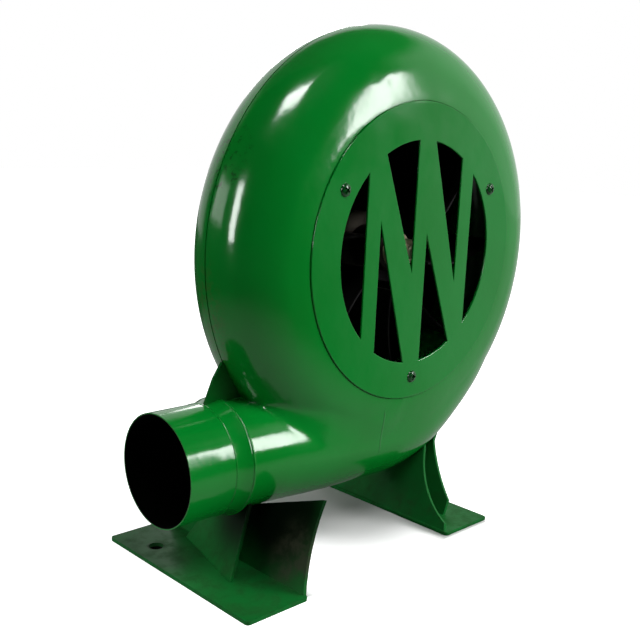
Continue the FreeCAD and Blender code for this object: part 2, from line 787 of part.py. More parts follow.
def fan():
    bore = shaftRadius + fitGap
    nose = shaftSeat + fitGap
    corners = [
        (0.0, -shaftNose), (shaftSeat - shieldDepth, -shaftNose), (shaftSeat, shieldDepth - shaftNose),
        (shaftSeat, -hubFront), (shaftRadius, -hubFront), (shaftRadius, shaftStep), (shaftSeat, shaftStep),
        (shaftSeat, finePlace + fineWidth + endGap), (0.0, finePlace + fineWidth + endGap),
    ]
    node(turned("fan_shaft", corners, fanX, midY, axisHeight), "fan_shaft")
    corners = [
        (bore, -hubFront), (hubRadius - hubEdge, -hubFront), (hubRadius, hubEdge - hubFront),
        (hubRadius, discPlace - hubFlangeSheet), (hubFlange, discPlace - hubFlangeSheet),
        (hubFlange, discPlace), (bore, discPlace),
    ]
    node(turned("fan_hub", corners, fanX, midY, axisHeight), "fan_hub")
    corners = [(bore, discPlace), (discRadius, discPlace), (discRadius, discPlace + discSheet),
               (bore, discPlace + discSheet)]
    node(turned("fan_disc", corners, fanX, midY, axisHeight), "fan_disc")
    tipX = fanRadius * cosine(bladeSweep)
    tipZ = fanRadius * sine(bladeSweep)
    runX = tipX - bladeRoot
    chord = root(runX * runX + tipZ * tipZ)
    offX = -tipZ / chord * bladeSheet
    offZ = runX / chord * bladeSheet
    corners = [(bladeRoot, 0.0), (tipX, tipZ), (tipX + offX, tipZ + offZ), (bladeRoot + offX, offZ)]
    for index in range(bladeCount):
        label = "fan_blade_%d" % (index + 1)
        turn = Rotation(Vector(0, 1, 0), 360.0 / bladeCount * (index + 0.5))
        body = bodyAt(label, fanX, midY, axisHeight, turn)
        sketch, length = slab(body, -bladeFront, discPlace)
        outline(sketch, corners, {0: bladeBend, 2: -bladeBend})
        pad(body, sketch, length, True)
        node(body, label)
    washerPlace = midY - hubFront - washerSheet
    washer("fan_washer", washerRadius, nose, fanX, washerPlace, axisHeight)
    nut("fan_nut", fanNutFlats, fanNutHeight, nose, fanX, washerPlace - fanNutHeight, axisHeight)


def toothedWheel(teeth, module, phase, start, stop):
    # a spur gear about the Y axis with one tooth centred at the angle phase
    count = int(teeth.number)
    pitch = module.number * count / 2
    tip = pitch + module.number * addendumShare.number
    valley = pitch - module.number * dedendumShare.number
    base = pitch * math.cos(math.radians(pressureAngle.number))
    share = math.pi / 2 / count - flankGap.number / pitch

    def halfAngle(radius):
        # half of the tooth's angle at a radius, along the involute
        if radius <= base:
            return share + involute(pitch, base)
        return share + involute(pitch, base) - involute(radius, base)

    knee = max(base, valley)
    profile = [(valley, -halfAngle(valley)), (knee, -halfAngle(knee)), (tip, -halfAngle(tip)),
               (tip, halfAngle(tip)), (knee, halfAngle(knee)), (valley, halfAngle(valley))]
    if knee == valley:
        profile = [profile[0], profile[2], profile[3], profile[5]]
    points = []
    for index in range(count):
        centre = phase + 2 * math.pi * index / count
        for radius, angle in profile:
            turn = centre + angle
            points.append(Vector(radius * math.cos(turn), start.number, radius * math.sin(turn)))
    points.append(points[0])
    face = Part.Face(Part.makePolygon(points))
    return face.extrude(Vector(0, stop.number - start.number, 0))


def involute(radius, base):
    angle = math.acos(base / radius)
    return math.tan(angle) - angle


def drumSolid(radius, start, stop):
    base = Vector(0, start.number, 0)
    return Part.makeCylinder(radius.number, stop.number - start.number, base, Vector(0, 1, 0))


def gear(label, solid, bore, x, z):
    # give a toothed wheel its bore and its place in the train
    box = solid.BoundBox
    hole = Part.makeCylinder(bore.number, box.YLength, Vector(0, box.YMin, 0), Vector(0, 1, 0))
    thing = doc.addObject("Part::Feature", label)
    thing.Shape = solid.cut(hole)
    place(thing, x, midY, z)
    node(thing, label)


def gears():
    layAngle = math.atan2(layZ.number, layX.number)
    crankAngle = math.atan2(-layZ.number, crankOffset.number - layX.number)
    layBoreRadius = layBore + fitGap
    wheelEnd = finePlace + fineWidth
    lidInside = caseEnd - caseWall
    pinion = toothedWheel(pinionTeeth, fineModule, layAngle, finePlace, wheelEnd)
    gear("fan_pinion", pinion, shaftSeat + fitGap, fanX, axisHeight)
    # the gap of each driven wheel faces the tooth of the wheel that it meets
    halfTooth = math.pi / layTeeth.number
    wheel = toothedWheel(layTeeth, fineModule, layAngle + math.pi + halfTooth, finePlace, wheelEnd)
    hub = drumSolid(layHub, plateBack + endGap, wheelEnd + gearGap)
    gear("layshaft_gear", wheel.fuse(hub), layBoreRadius, fanX + layX, axisHeight + layZ)
    pinion = toothedWheel(pinionTeeth, coarseModule, crankAngle, wheelEnd + gearGap, lidInside - endGap)
    gear("layshaft_pinion", pinion, layBoreRadius, fanX + layX, axisHeight + layZ)
    halfTooth = math.pi / crankTeeth.number
    wheel = toothedWheel(crankTeeth, coarseModule, crankAngle + math.pi + halfTooth, coarsePlace,
                         coarsePlace + coarseWidth)
    bushEnd = bushFlangeSheet + endGap
    hub = drumSolid(crankHub, plateBack + bushEnd, lidInside - bushEnd)
    gear("crank_gear", wheel.fuse(hub), crankShaftRadius + fitGap, fanX + crankOffset, axisHeight)


def obround(sketch, radius):
    # the outline round the crank's side and the layshaft's side of the gear case
    firstX = crankOffset.number
    secondZ = caseRise.number
    away = radius.number
    slope = math.atan2(secondZ, -firstX)
    spots = [(crankOffset, sized(0.0), slope + math.pi / 2, slope + math.pi * 1.5),
             (sized(0.0), caseRise, slope - math.pi / 2, slope + math.pi / 2)]
    arcs = []
    for x, z, start, stop in spots:
        circle = Part.Circle(Vector(x.number, z.number, 0), Vector(0, 0, 1), away)
        edge = sketch.addGeometry(Part.ArcOfCircle(circle, start, stop))
        pin(sketch, edge, 3, x, z)
        mark = sketch.addConstraint(Sketcher.Constraint("Radius", edge, away))
        bind(sketch, "Constraints[%d]" % mark, radius)
        arcs.append(edge)
    for near, far in ((0, 1), (1, 0)):
        x, z, start, stop = spots[near]
        farX, farZ, farStart, farStop = spots[far]
        fromSpot = Vector(x.number + away * math.cos(stop), z.number + away * math.sin(stop), 0)
        toSpot = Vector(farX.number + away * math.cos(farStart), farZ.number + away * math.sin(farStart), 0)
        line = sketch.addGeometry(Part.LineSegment(fromSpot, toSpot))
        sketch.addConstraint(Sketcher.Constraint("Tangent", arcs[near], 2, line, 1))
        sketch.addConstraint(Sketcher.Constraint("Tangent", line, 2, arcs[far], 1))


def caseScrewSpots():
    reach = caseFlange - caseScrewInset
    spots = []
    for x, z, angles in ((crankOffset, sized(0.0), (-100, -28, 45)), (sized(0.0), caseRise, (80, 152, 225))):
        for angle in angles:
            spots.append((x + reach * cosine(angle), z + reach * sine(angle)))
    return spots


def gearPlate():
    body = bodyAt("gear_plate", fanX, midY, axisHeight)
    sketch, length = slab(body, faceDepth, plateBack)
    obround(sketch, caseFlange)
    ring(sketch, 0.0, 0.0, bearingRadius + bearingWall + weldGap)
    ring(sketch, crankOffset, 0.0, crankShaftRadius + bushWall + fitGap * 2)
    ring(sketch, layX, layZ, layBore + fitGap)
    for x, z in caseScrewSpots():
        ring(sketch, x, z, screwShank + screwHoleGap)
    pad(body, sketch, length, True)
    node(body, "gear_plate")


def gearCase():
    body = bodyAt("gear_case", fanX, midY, axisHeight)
    sketch, length = slab(body, plateBack, plateBack + caseFlangeSheet)
    obround(sketch, caseFlange)
    for x, z in caseScrewSpots():
        ring(sketch, x, z, screwShank + screwHoleGap)
    pad(body, sketch, length, True)
    sketch, length = slab(body, plateBack, caseEnd)
    obround(sketch, caseRadius + caseWall)
    drum = pad(body, sketch, length, True)
    doc.recompute()
    rim = edgesAt(drum.Shape, caseEnd.number)
    fillet = body.newObject("PartDesign::Fillet", "case_fillet")
    fillet.Base = (drum, rim)
    bind(fillet, "Radius", caseFillet)
    sketch, length = slab(body, caseEnd - caseWall, bossEnd)
    ring(sketch, crankOffset, 0.0, bossRadius)
    pad(body, sketch, length, True)
    sketch, length = slab(body, plateBack, caseEnd - caseWall)
    obround(sketch, caseRadius)
    pocket(body, sketch, length, False)
    sketch, length = slab(body, plateBack, bossEnd)
    ring(sketch, crankOffset, 0.0, crankShaftRadius + bushWall + fitGap * 2)
    ring(sketch, layX, layZ, layBore + fitGap)
    pocket(body, sketch, length, False)
    node(body, "gear_case")


def edgesAt(shape, height):
    # the outer edges of a solid that lie at one place along Y, in the body's own frame
    names = []
    for index, edge in enumerate(shape.Edges):
        box = edge.BoundBox
        if abs(box.YMin - height) < 0.01 and abs(box.YMax - height) < 0.01:
            names.append("Edge%d" % (index + 1))
    return names


def caseScrews():
    tail = caseFlangeSheet + plateSheet - endGap / 2
    for index, (x, z) in enumerate(caseScrewSpots()):
        label = "case_screw_%d" % (index + 1)
        node(screw(label, fanX + x, midY + plateBack + caseFlangeSheet, axisHeight + z, 1, tail), label)


def layshaftBolt():
    start = faceDepth + endGap / 2
    head = caseEnd + layHeadHeight
    corners = [
        (0.0, start), (layBore, start), (layBore, caseEnd), (layHeadRadius, caseEnd),
        (layHeadRadius, head - layHeadEdge), (layHeadRadius - layHeadEdge, head), (0.0, head),
    ]
    node(turned("layshaft_bolt", corners, fanX + layX, midY, axisHeight + layZ), "layshaft_bolt")


def bushes():
    bore = crankShaftRadius + fitGap
    outer = bore + bushWall
    flange = outer + bushFlange
    start = faceDepth + endGap / 2
    stop = plateBack + bushFlangeSheet
    corners = [
        (bore, start), (outer, start), (outer, plateBack), (flange, plateBack), (flange, stop), (bore, stop),
    ]
    node(turned("inner_bush", corners, fanX + crankOffset, midY, axisHeight), "inner_bush")
    wall = caseEnd - caseWall
    start = wall - bushFlangeSheet
    corners = [
        (bore, start), (flange, start), (flange, wall), (outer, wall), (outer, bossEnd), (bore, bossEnd),
    ]
    node(turned("outer_bush", corners, fanX + crankOffset, midY, axisHeight), "outer_bush")


def crank():
    x = fanX + crankOffset
    z = axisHeight
    nutPlace = armFace + washerSheet
    noseEnd = nutPlace + crankNutHeight + nutShow
    start = faceDepth + endGap
    step = armFace - endGap / 2
    corners = [
        (0.0, start), (crankShaftRadius, start), (crankShaftRadius, step), (crankNose, step),
        (crankNose, noseEnd - shieldDepth), (crankNose - shieldDepth, noseEnd), (0.0, noseEnd),
    ]
    node(turned("crank_shaft", corners, x, midY, z), "crank_shaft")
    body = bodyAt("crank_arm", x, midY, z)
    armBack = armPlace + armSetback
    sketch, length = slab(body, armBack, armBack + armSheet)
    corners = [(-armHubWidth, 0.0), (-armWaist, -armLength), (armWaist, -armLength), (armHubWidth, 0.0)]
    outline(sketch, corners)
    pad(body, sketch, length, True)
    sketch, length = slab(body, armPlace, armFace)
    ring(sketch, 0.0, 0.0, armHub)
    pad(body, sketch, length, True)
    sketch, length = slab(body, armBack, armFace)
    ring(sketch, 0.0, -armLength, armEnd)
    pad(body, sketch, length, True)
    sketch, length = slab(body, armPlace, armFace)
    ring(sketch, 0.0, 0.0, crankShaftRadius + fitGap)
    ring(sketch, 0.0, -armLength, spindleRadius + fitGap)
    pocket(body, sketch, length, False)
    node(body, "crank_arm")
    washer("crank_washer", washerRadius, crankNose + fitGap, x, midY + armFace, z)
    nut("crank_nut", crankNutFlats, crankNutHeight, crankNose + fitGap, x, midY + nutPlace, z)
    gripNut = armBack - spindleNutHeight
    bore = spindleRadius + fitGap
    nut("spindle_nut", fanNutFlats, spindleNutHeight, bore, x, midY + gripNut, z - armLength)
    start = gripNut - nutShow
    stop = gripStop + gripPlay
    headEnd = stop + spindleHeadHeight
    corners = [
        (0.0, start), (spindleRadius, start), (spindleRadius, armFace), (spindleCollar, armFace),
        (spindleCollar, collarEnd), (spindleRadius, collarEnd), (spindleRadius, stop), (spindleHead, stop),
        (spindleHead, headEnd - spindleHeadHeight / 2), (spindleCrown, headEnd), (0.0, headEnd),
    ]
    node(turned("grip_spindle", corners, x, midY, z - armLength), "grip_spindle")
    run = gripLength - gripEdge * 2
    bend = (run * run / 4 + gripBulge * gripBulge) / (gripBulge * 2)
    corners = [
        (bore, gripStart), (gripEnd - gripEdge, gripStart), (gripEnd, gripStart + gripEdge),
        (gripEnd, gripStop - gripEdge), (gripEnd - gripEdge, gripStop), (bore, gripStop),
    ]
    node(turned("wooden_grip", corners, x, midY, z - armLength, {2: bend}), "wooden_grip")


housing()
outletPipe()
grille()
grilleScrews()
space = clearance()
throatWeb(space)
leftFoot(space)
rightFoot(space)
bearings()
fan()
gears()
gearPlate()
gearCase()
caseScrews()
layshaftBolt()
bushes()
crank()
doc.recompute()


def finish():
    failed = []
    for thing in doc.Objects:
        if "Invalid" in thing.State or "Error" in thing.State:
            failed.append(thing.Label)
    for thing in nodes:
        if thing.Shape.isNull() or not thing.Shape.isValid():
            failed.append(thing.Label)
    if failed:
        raise RuntimeError("not built: " + ", ".join(failed))
    os.makedirs("parts", exist_ok=True)
    for thing in nodes:
        thing.Shape.exportStep("parts/%s.step" % thing.Label)
        print(thing.Label, len(thing.Shape.Solids), round(thing.Shape.Volume, 1))


finish()
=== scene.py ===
import math
import bmesh
import bpy
from mathutils import Matrix, Vector


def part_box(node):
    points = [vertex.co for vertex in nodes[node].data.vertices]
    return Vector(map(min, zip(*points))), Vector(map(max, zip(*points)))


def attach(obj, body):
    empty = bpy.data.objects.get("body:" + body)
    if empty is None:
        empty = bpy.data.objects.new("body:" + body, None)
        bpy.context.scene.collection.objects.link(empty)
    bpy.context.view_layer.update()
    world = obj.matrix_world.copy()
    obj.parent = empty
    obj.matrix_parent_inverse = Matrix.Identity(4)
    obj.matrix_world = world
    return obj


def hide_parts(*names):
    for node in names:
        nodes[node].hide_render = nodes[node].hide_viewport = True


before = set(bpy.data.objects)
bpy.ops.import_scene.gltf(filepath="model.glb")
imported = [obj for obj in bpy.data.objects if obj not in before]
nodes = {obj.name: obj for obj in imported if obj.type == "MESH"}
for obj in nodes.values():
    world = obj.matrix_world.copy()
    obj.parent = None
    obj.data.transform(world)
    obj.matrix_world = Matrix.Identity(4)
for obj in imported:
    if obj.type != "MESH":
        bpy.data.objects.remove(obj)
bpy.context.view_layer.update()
print("frame loaded:", len(nodes), "nodes")

# where the machine stands, in metres: the fan's axis, the plane between the halves, the outlet's height
fanX, middleY, axisZ = 0.044, -0.031, 0.1587
outletZ = 0.0578
mergeReach = 0.00002                                 # points closer than this are one point
pureBlack, pureWhite = (0, 0, 0, 1), (1, 1, 1, 1)
nodeGrid = {"rows": 6, "wide": 200, "high": 260}     # how the nodes of a tree are laid out


# small helpers for shader and geometry trees
def addNode(tree, kind, **settings):
    made = tree.nodes.new(kind)
    column, row = divmod(len(tree.nodes), nodeGrid["rows"])
    made.location = (column * nodeGrid["wide"], -row * nodeGrid["high"])
    for name, value in settings.items():
        setattr(made, name, value)
    return made


def feed(tree, source, target):
    # source is a socket's output or a plain value
    if isinstance(source, bpy.types.NodeSocket):
        tree.links.new(source, target)
    elif source is not None:
        target.default_value = source


def startGroup(name, kind, inputs, outputs):
    # a node group with named sockets, and its two end nodes
    tree = bpy.data.node_groups.new(name, kind)
    for label, socket, start in inputs:
        made = tree.interface.new_socket(label, in_out="INPUT", socket_type=socket)
        if start is not None:
            made.default_value = start
    for label, socket in outputs:
        tree.interface.new_socket(label, in_out="OUTPUT", socket_type=socket)
    return tree, addNode(tree, "NodeGroupInput"), addNode(tree, "NodeGroupOutput")


def mixColour(tree, factor, first, second):
    made = addNode(tree, "ShaderNodeMix", data_type="RGBA")
    feed(tree, factor, made.inputs[0])
    feed(tree, first, made.inputs[6])
    feed(tree, second, made.inputs[7])
    return made.outputs[2]


def doMath(tree, operation, first, second=None, clamp=False):
    made = addNode(tree, "ShaderNodeMath", operation=operation, use_clamp=clamp)
    feed(tree, first, made.inputs[0])
    feed(tree, second, made.inputs[1])
    return made.outputs[0]


def doVector(tree, operation, first, second=None, result=0):
    made = addNode(tree, "ShaderNodeVectorMath", operation=operation)
    feed(tree, first, made.inputs[0])
    feed(tree, second, made.inputs[1])
    return made.outputs[result]


def times(tree, first, *others):
    for other in others:
        first = doMath(tree, "MULTIPLY", first, other)
    return first


def rangeOf(tree, value, low, high, toLow=0.0, toHigh=1.0):
    made = addNode(tree, "ShaderNodeMapRange", interpolation_type="SMOOTHSTEP")
    for label, number in (("Value", value), ("From Min", low), ("From Max", high),
                          ("To Min", toLow), ("To Max", toHigh)):
        feed(tree, number, made.inputs[label])
    return made.outputs["Result"]


def noise(tree, vector, scale, detail, rough):
    made = addNode(tree, "ShaderNodeTexNoise")
    for label, value in (("Vector", vector), ("Scale", scale), ("Detail", detail), ("Roughness", rough)):
        feed(tree, value, made.inputs[label])
    return made.outputs["Fac"]


def objectPlace(tree):
    # the point on the object, and its X, Y and Z
    where = addNode(tree, "ShaderNodeTexCoord").outputs["Object"]
    split = addNode(tree, "ShaderNodeSeparateXYZ")
    feed(tree, where, split.inputs[0])
    return where, split.outputs


def distanceTo(tree, where, spot, stretch=(1, 1, 1)):
    # how far a point is from a spot, with each direction stretched
    shift = doVector(tree, "SUBTRACT", where, spot)
    return doVector(tree, "LENGTH", doVector(tree, "MULTIPLY", shift, stretch), result="Value")


# in all the looks a noise is its scale, detail and roughness, a fade goes from one noise to another and from
# how little to how much, and a bump is its strength and depth
# sprayed enamel: uneven colour, dirt near the floor, and an orange peel skin over soft dents
enamelSprayed = {
    "clouds": (14.0, 3.0, 0.55), "deepFade": (0.3, 0.7, 0.0, 0.6),    # where the deep paint shows
    "patches": (120.0, 6.0, 0.7), "dirtFade": (0.40, 0.66), "dirtRise": 1.5,
    "smears": (38.0, 4.0, 0.6), "smearFade": (0.35, 0.75, -0.02, 0.05), "dirtDulls": 0.5,
    "peel": (2.0, 0.4), "peelHeight": 0.05,                           # each paint has its own peel scale
    "dents": (50.0, 3.0, 0.5), "dentHeight": 1.2, "dirtHeight": 0.08,
    "bump": (0.35, 0.0006),
}
skinOutputs = [("Colour", "NodeSocketColor"), ("Roughness", "NodeSocketFloat"), ("Height", "NodeSocketFloat")]


def buildEnamelSkin():
    tree, start, end = startGroup("enamelSkin", "ShaderNodeTree", [
        ("Paint", "NodeSocketColor", (0.002, 0.22, 0.024, 1)),
        ("Deep Paint", "NodeSocketColor", (0.001, 0.16, 0.014, 1)),
        ("Dirt", "NodeSocketColor", (0.05, 0.045, 0.03, 1)),
        ("Dirt Height", "NodeSocketFloat", 0.004),
        ("Dirt Amount", "NodeSocketFloat", 0.0),
        ("Gloss", "NodeSocketFloat", 0.14),
        ("Peel Scale", "NodeSocketFloat", 420.0),
    ], skinOutputs)
    where, share = objectPlace(tree)
    given, own = start.outputs, enamelSprayed
    cloudy = rangeOf(tree, noise(tree, where, *own["clouds"]), *own["deepFade"])
    paint = mixColour(tree, cloudy, given["Paint"], given["Deep Paint"])
    rise = doMath(tree, "DIVIDE", share["Z"], given["Dirt Height"])
    low = doMath(tree, "SUBTRACT", own["dirtRise"], rise, clamp=True)
    patch = rangeOf(tree, noise(tree, where, *own["patches"]), *own["dirtFade"])
    dirt = doMath(tree, "MULTIPLY", times(tree, low, patch), given["Dirt Amount"], clamp=True)
    feed(tree, mixColour(tree, dirt, paint, given["Dirt"]), end.inputs["Colour"])
    smear = rangeOf(tree, noise(tree, where, *own["smears"]), *own["smearFade"])
    gloss = doMath(tree, "ADD", given["Gloss"], smear)
    gloss = doMath(tree, "ADD", gloss, times(tree, dirt, own["dirtDulls"]), clamp=True)
    feed(tree, gloss, end.inputs["Roughness"])
    peel = times(tree, noise(tree, where, given["Peel Scale"], *own["peel"]), own["peelHeight"])
    dents = times(tree, noise(tree, where, *own["dents"]), own["dentHeight"])
    height = doMath(tree, "ADD", peel, dents)
    feed(tree, doMath(tree, "ADD", height, times(tree, dirt, own["dirtHeight"])), end.inputs["Height"])
    return tree


# turned or rolled metal: fine grain, stains and a slightly uneven gloss
metalRolled = {
    "spots": (90.0, 5.0, 0.6), "stainFade": (0.45, 0.75), "stainDulls": 0.3,
    "grain": (2.0, 0.5), "grainDulls": 0.15,                          # each metal has its own grain scale
    "bump": 0.15, "depth": 0.0003,
}


def buildMetalSkin():
    tree, start, end = startGroup("metalSkin", "ShaderNodeTree", [
        ("Metal", "NodeSocketColor", (0.5, 0.5, 0.5, 1)),
        ("Stain", "NodeSocketColor", (0.2, 0.17, 0.13, 1)),
        ("Grain Scale", "NodeSocketFloat", 900.0),
        ("Stain Amount", "NodeSocketFloat", 0.5),
        ("Smooth", "NodeSocketFloat", 0.25),
    ], skinOutputs)
    where, _ = objectPlace(tree)
    given, own = start.outputs, metalRolled
    spots = rangeOf(tree, noise(tree, where, *own["spots"]), *own["stainFade"])
    stained = doMath(tree, "MULTIPLY", spots, given["Stain Amount"], clamp=True)
    feed(tree, mixColour(tree, stained, given["Metal"], given["Stain"]), end.inputs["Colour"])
    grain = noise(tree, where, given["Grain Scale"], *own["grain"])
    rough = doMath(tree, "ADD", times(tree, grain, own["grainDulls"]), given["Smooth"])
    rough = doMath(tree, "ADD", rough, times(tree, stained, own["stainDulls"]), clamp=True)
    feed(tree, rough, end.inputs["Roughness"])
    feed(tree, grain, end.inputs["Height"])
    return tree


enamelSkin = buildEnamelSkin()
metalSkin = buildMetalSkin()


def putIn(name, data):
    made = bpy.data.objects.new(name, data)
    bpy.context.scene.collection.objects.link(made)
    return made


def startMaterial(name):
    material = bpy.data.materials.new(name)
    material.use_nodes = True
    tree = material.node_tree
    return material, tree, tree.nodes["Principled BSDF"]


def addBump(tree, shader, height, strength, distance):
    bump = addNode(tree, "ShaderNodeBump")
    bump.inputs["Strength"].default_value = strength
    bump.inputs["Distance"].default_value = distance
    feed(tree, height, bump.inputs["Height"])
    feed(tree, bump.outputs["Normal"], shader.inputs["Normal"])


def placeSkin(tree, group, values):
    skin = addNode(tree, "ShaderNodeGroup")
    skin.node_tree = group
    for label, value in values.items():
        skin.inputs[label].default_value = (*value, 1) if isinstance(value, tuple) else value
    return [skin.outputs[label] for label, _ in skinOutputs]


def enamel(name, marks=None, sheen=0.5, **values):
    # marks adds what only one piece shows: it takes the colour, the roughness and the height, and returns
    # them with a mask of what has no shine at all, or None
    material, tree, shader = startMaterial(name)
    colour, rough, height = placeSkin(tree, enamelSkin, values)
    if marks:
        colour, rough, height, dull = marks(tree, colour, rough, height)
        feed(tree, dull, shader.inputs["Metallic"])    # a black metal mirrors nothing
    feed(tree, colour, shader.inputs["Base Color"])
    feed(tree, rough, shader.inputs["Roughness"])
    shader.inputs["IOR"].default_value = 1.5
    shader.inputs["Specular IOR Level"].default_value = sheen
    addBump(tree, shader, height, *enamelSprayed["bump"])
    return material


def metal(name, values, bump=metalRolled["bump"], metallic=1.0):
    material, tree, shader = startMaterial(name)
    labels = ("Metal", "Stain", "Grain Scale", "Stain Amount", "Smooth")
    colour, rough, height = placeSkin(tree, metalSkin, dict(zip(labels, values)))
    feed(tree, colour, shader.inputs["Base Color"])
    feed(tree, rough, shader.inputs["Roughness"])
    shader.inputs["Metallic"].default_value = metallic
    addBump(tree, shader, height, bump, metalRolled["depth"])
    return material


# thin satin black paint on the fan
fanPaint = {
    "dust": (70.0, 4.0, 0.6), "dustFade": (0.4, 0.8), "grain": (500.0, 2.0, 0.5),
    "clean": (0.002, 0.002, 0.002, 1), "dusty": (0.006, 0.006, 0.005, 1),
    "roughFade": (0.0, 1.0, 0.5, 0.7), "sheen": 0.15, "bump": (0.2, 0.0003),
}


def blackSheet(name):
    material, tree, shader = startMaterial(name)
    where, _ = objectPlace(tree)
    dust = rangeOf(tree, noise(tree, where, *fanPaint["dust"]), *fanPaint["dustFade"])
    feed(tree, mixColour(tree, dust, fanPaint["clean"], fanPaint["dusty"]), shader.inputs["Base Color"])
    feed(tree, rangeOf(tree, dust, *fanPaint["roughFade"]), shader.inputs["Roughness"])
    shader.inputs["Specular IOR Level"].default_value = fanPaint["sheen"]
    addBump(tree, shader, noise(tree, where, *fanPaint["grain"]), *fanPaint["bump"])
    return material


# the inside of the housing: painted shade, almost black, mottled like primer, oil and dust
insideShadeCoat = {
    "shadeBlack": (45.0, 5.0, 0.6), "shadeBlackFade": (0.45, 0.8),
    "oilyShade": (0.0006, 0.001, 0.0007, 1), "dusty": (0.002, 0.004, 0.002, 1),
    "roughFade": (0.2, 0.8, 0.55, 0.75), "sheen": 0.02, "bump": (0.15, 0.0004),
}


def paintedShadeInside(name):
    material, tree, shader = startMaterial(name)
    where, _ = objectPlace(tree)
    shadeBlack = noise(tree, where, *insideShadeCoat["shadeBlack"])
    dusty = rangeOf(tree, shadeBlack, *insideShadeCoat["shadeBlackFade"])
    # painted shade: the housing's inside is coloured near black
    feed(tree, mixColour(tree, dusty, insideShadeCoat["oilyShade"], insideShadeCoat["dusty"]), shader.inputs["Base Color"])
    feed(tree, rangeOf(tree, shadeBlack, *insideShadeCoat["roughFade"]), shader.inputs["Roughness"])
    shader.inputs["Specular IOR Level"].default_value = insideShadeCoat["sheen"]
    addBump(tree, shader, shadeBlack, *insideShadeCoat["bump"])
    return material


# lacquered hardwood with the grain along the grip, which lies along Y
hardwood = {
    "heart": (-0.072, 0.0, -0.020), "along": (1.0, 0.09, 1.0),    # where the rings lie and how long they run
    "rings": {"Scale": 95.0, "Distortion": 3.5, "Detail": 3.0, "Detail Scale": 1.6},
    "light": (0.36, 0.17, 0.06, 1), "dark": (0.20, 0.075, 0.022, 1), "pore": (0.07, 0.025, 0.01, 1),
    "pores": (1400.0, 3.0, 0.6), "poreFade": (0.55, 0.7, 0.0, 0.6), "roughFade": (0.3, 0.8, 0.32, 0.5),
    "lacquer": 0.6, "lacquerRough": 0.12, "bump": (0.12, 0.0002),
}


def gripWood(name):
    material, tree, shader = startMaterial(name)
    where, _ = objectPlace(tree)
    turn = addNode(tree, "ShaderNodeMapping")
    turn.inputs["Location"].default_value = hardwood["heart"]
    turn.inputs["Scale"].default_value = hardwood["along"]
    feed(tree, where, turn.inputs["Vector"])
    bands = addNode(tree, "ShaderNodeTexWave", wave_type="RINGS", rings_direction="Y")
    for label, value in hardwood["rings"].items():
        bands.inputs[label].default_value = value
    feed(tree, turn.outputs["Vector"], bands.inputs["Vector"])
    pores = noise(tree, turn.outputs["Vector"], *hardwood["pores"])
    ringed = mixColour(tree, bands.outputs["Fac"], hardwood["light"], hardwood["dark"])
    deep = rangeOf(tree, pores, *hardwood["poreFade"])
    feed(tree, mixColour(tree, deep, ringed, hardwood["pore"]), shader.inputs["Base Color"])
    feed(tree, rangeOf(tree, pores, *hardwood["roughFade"]), shader.inputs["Roughness"])
    shader.inputs["Coat Weight"].default_value = hardwood["lacquer"]
    shader.inputs["Coat Roughness"].default_value = hardwood["lacquerRough"]
    addBump(tree, shader, pores, *hardwood["bump"])
    return material


def wearAndShadeSpots(tree, where, colour, marks):
    # the colour changed round some spots, for wear and for painted shade: core is the share of the reach with
    # no fading, and the change is even or broken up by the grain
    grain = noise(tree, where, *marks["grain"])
    for spot in marks["spots"]:
        away = distanceTo(tree, where, spot["at"], spot["stretch"])
        near = rangeOf(tree, away, spot["reach"] * spot["core"], spot["reach"], 1.0, 0.0)
        amount = rangeOf(tree, grain, *spot["broken"]) if "broken" in spot else spot["even"]
        colour = mixColour(tree, times(tree, near, amount), colour, spot["colour"])
    return colour


# dark scuffs and a brown tint on the left of the rim, small dents and one scraped line on the front
shellMarks = {
    "grain": (260.0, 6.0, 0.7),
    "spots": [
        {"at": (-0.066, -0.034, 0.2035), "stretch": (1.0, 1.0, 0.5), "reach": 0.016, "core": 0.4,
         "broken": (0.53, 0.63, 0.0, 0.6), "colour": (0.004, 0.010, 0.005, 1)},
        {"at": (-0.069, -0.030, 0.128), "stretch": (1.2, 1.6, 0.45), "reach": 0.022, "core": 0.3,
         "broken": (0.42, 0.62, 0.0, 0.35), "colour": (0.075, 0.060, 0.022, 1)},
    ],
    "dents": [((0.0227, -0.0562, 0.0399), 0.0045), ((0.006, -0.0588, 0.2478), 0.006),
              ((0.016, -0.0588, 0.2468), 0.005)],
    "dentDepth": 0.6,
    "scrapeAt": 0.0252, "scrapeWidth": 0.0008, "scrapeLow": 0.047, "scrapeHigh": 0.075, "scrapeFade": 0.004,
    "scrapeFront": (-0.052, -0.050), "scrapeTint": 0.35, "scrapeHeight": 0.5,
    "scrapeColour": (0.004, 0.05, 0.012, 1),
}


def markShell(tree, colour, rough, height):
    where, share = objectPlace(tree)
    own = shellMarks
    colour = wearAndShadeSpots(tree, where, colour, own)
    for spot, reach in own["dents"]:
        near = rangeOf(tree, distanceTo(tree, where, spot), 0.0, reach, 1.0, 0.0)
        height = doMath(tree, "SUBTRACT", height, times(tree, near, own["dentDepth"]))
    across = doMath(tree, "ABSOLUTE", doMath(tree, "SUBTRACT", share["X"], own["scrapeAt"]))
    line = rangeOf(tree, across, 0.0, own["scrapeWidth"], 1.0, 0.0)
    begin = rangeOf(tree, share["Z"], own["scrapeLow"], own["scrapeLow"] + own["scrapeFade"])
    stop = rangeOf(tree, share["Z"], own["scrapeHigh"] - own["scrapeFade"], own["scrapeHigh"], 1.0, 0.0)
    front = rangeOf(tree, share["Y"], *own["scrapeFront"], 1.0, 0.0)
    line = times(tree, line, times(tree, begin, stop), front)
    colour = mixColour(tree, times(tree, line, own["scrapeTint"]), colour, own["scrapeColour"])
    height = doMath(tree, "ADD", height, times(tree, line, own["scrapeHeight"]))
    return colour, rough, height, None


# the outlet pipe's bore is painted near black with no shine, as painted shade
pipeMarks = {"bore": 0.0278, "edge": 0.0001, "shadeBlack": (0.0008, 0.0012, 0.0008, 1), "dull": 0.85}


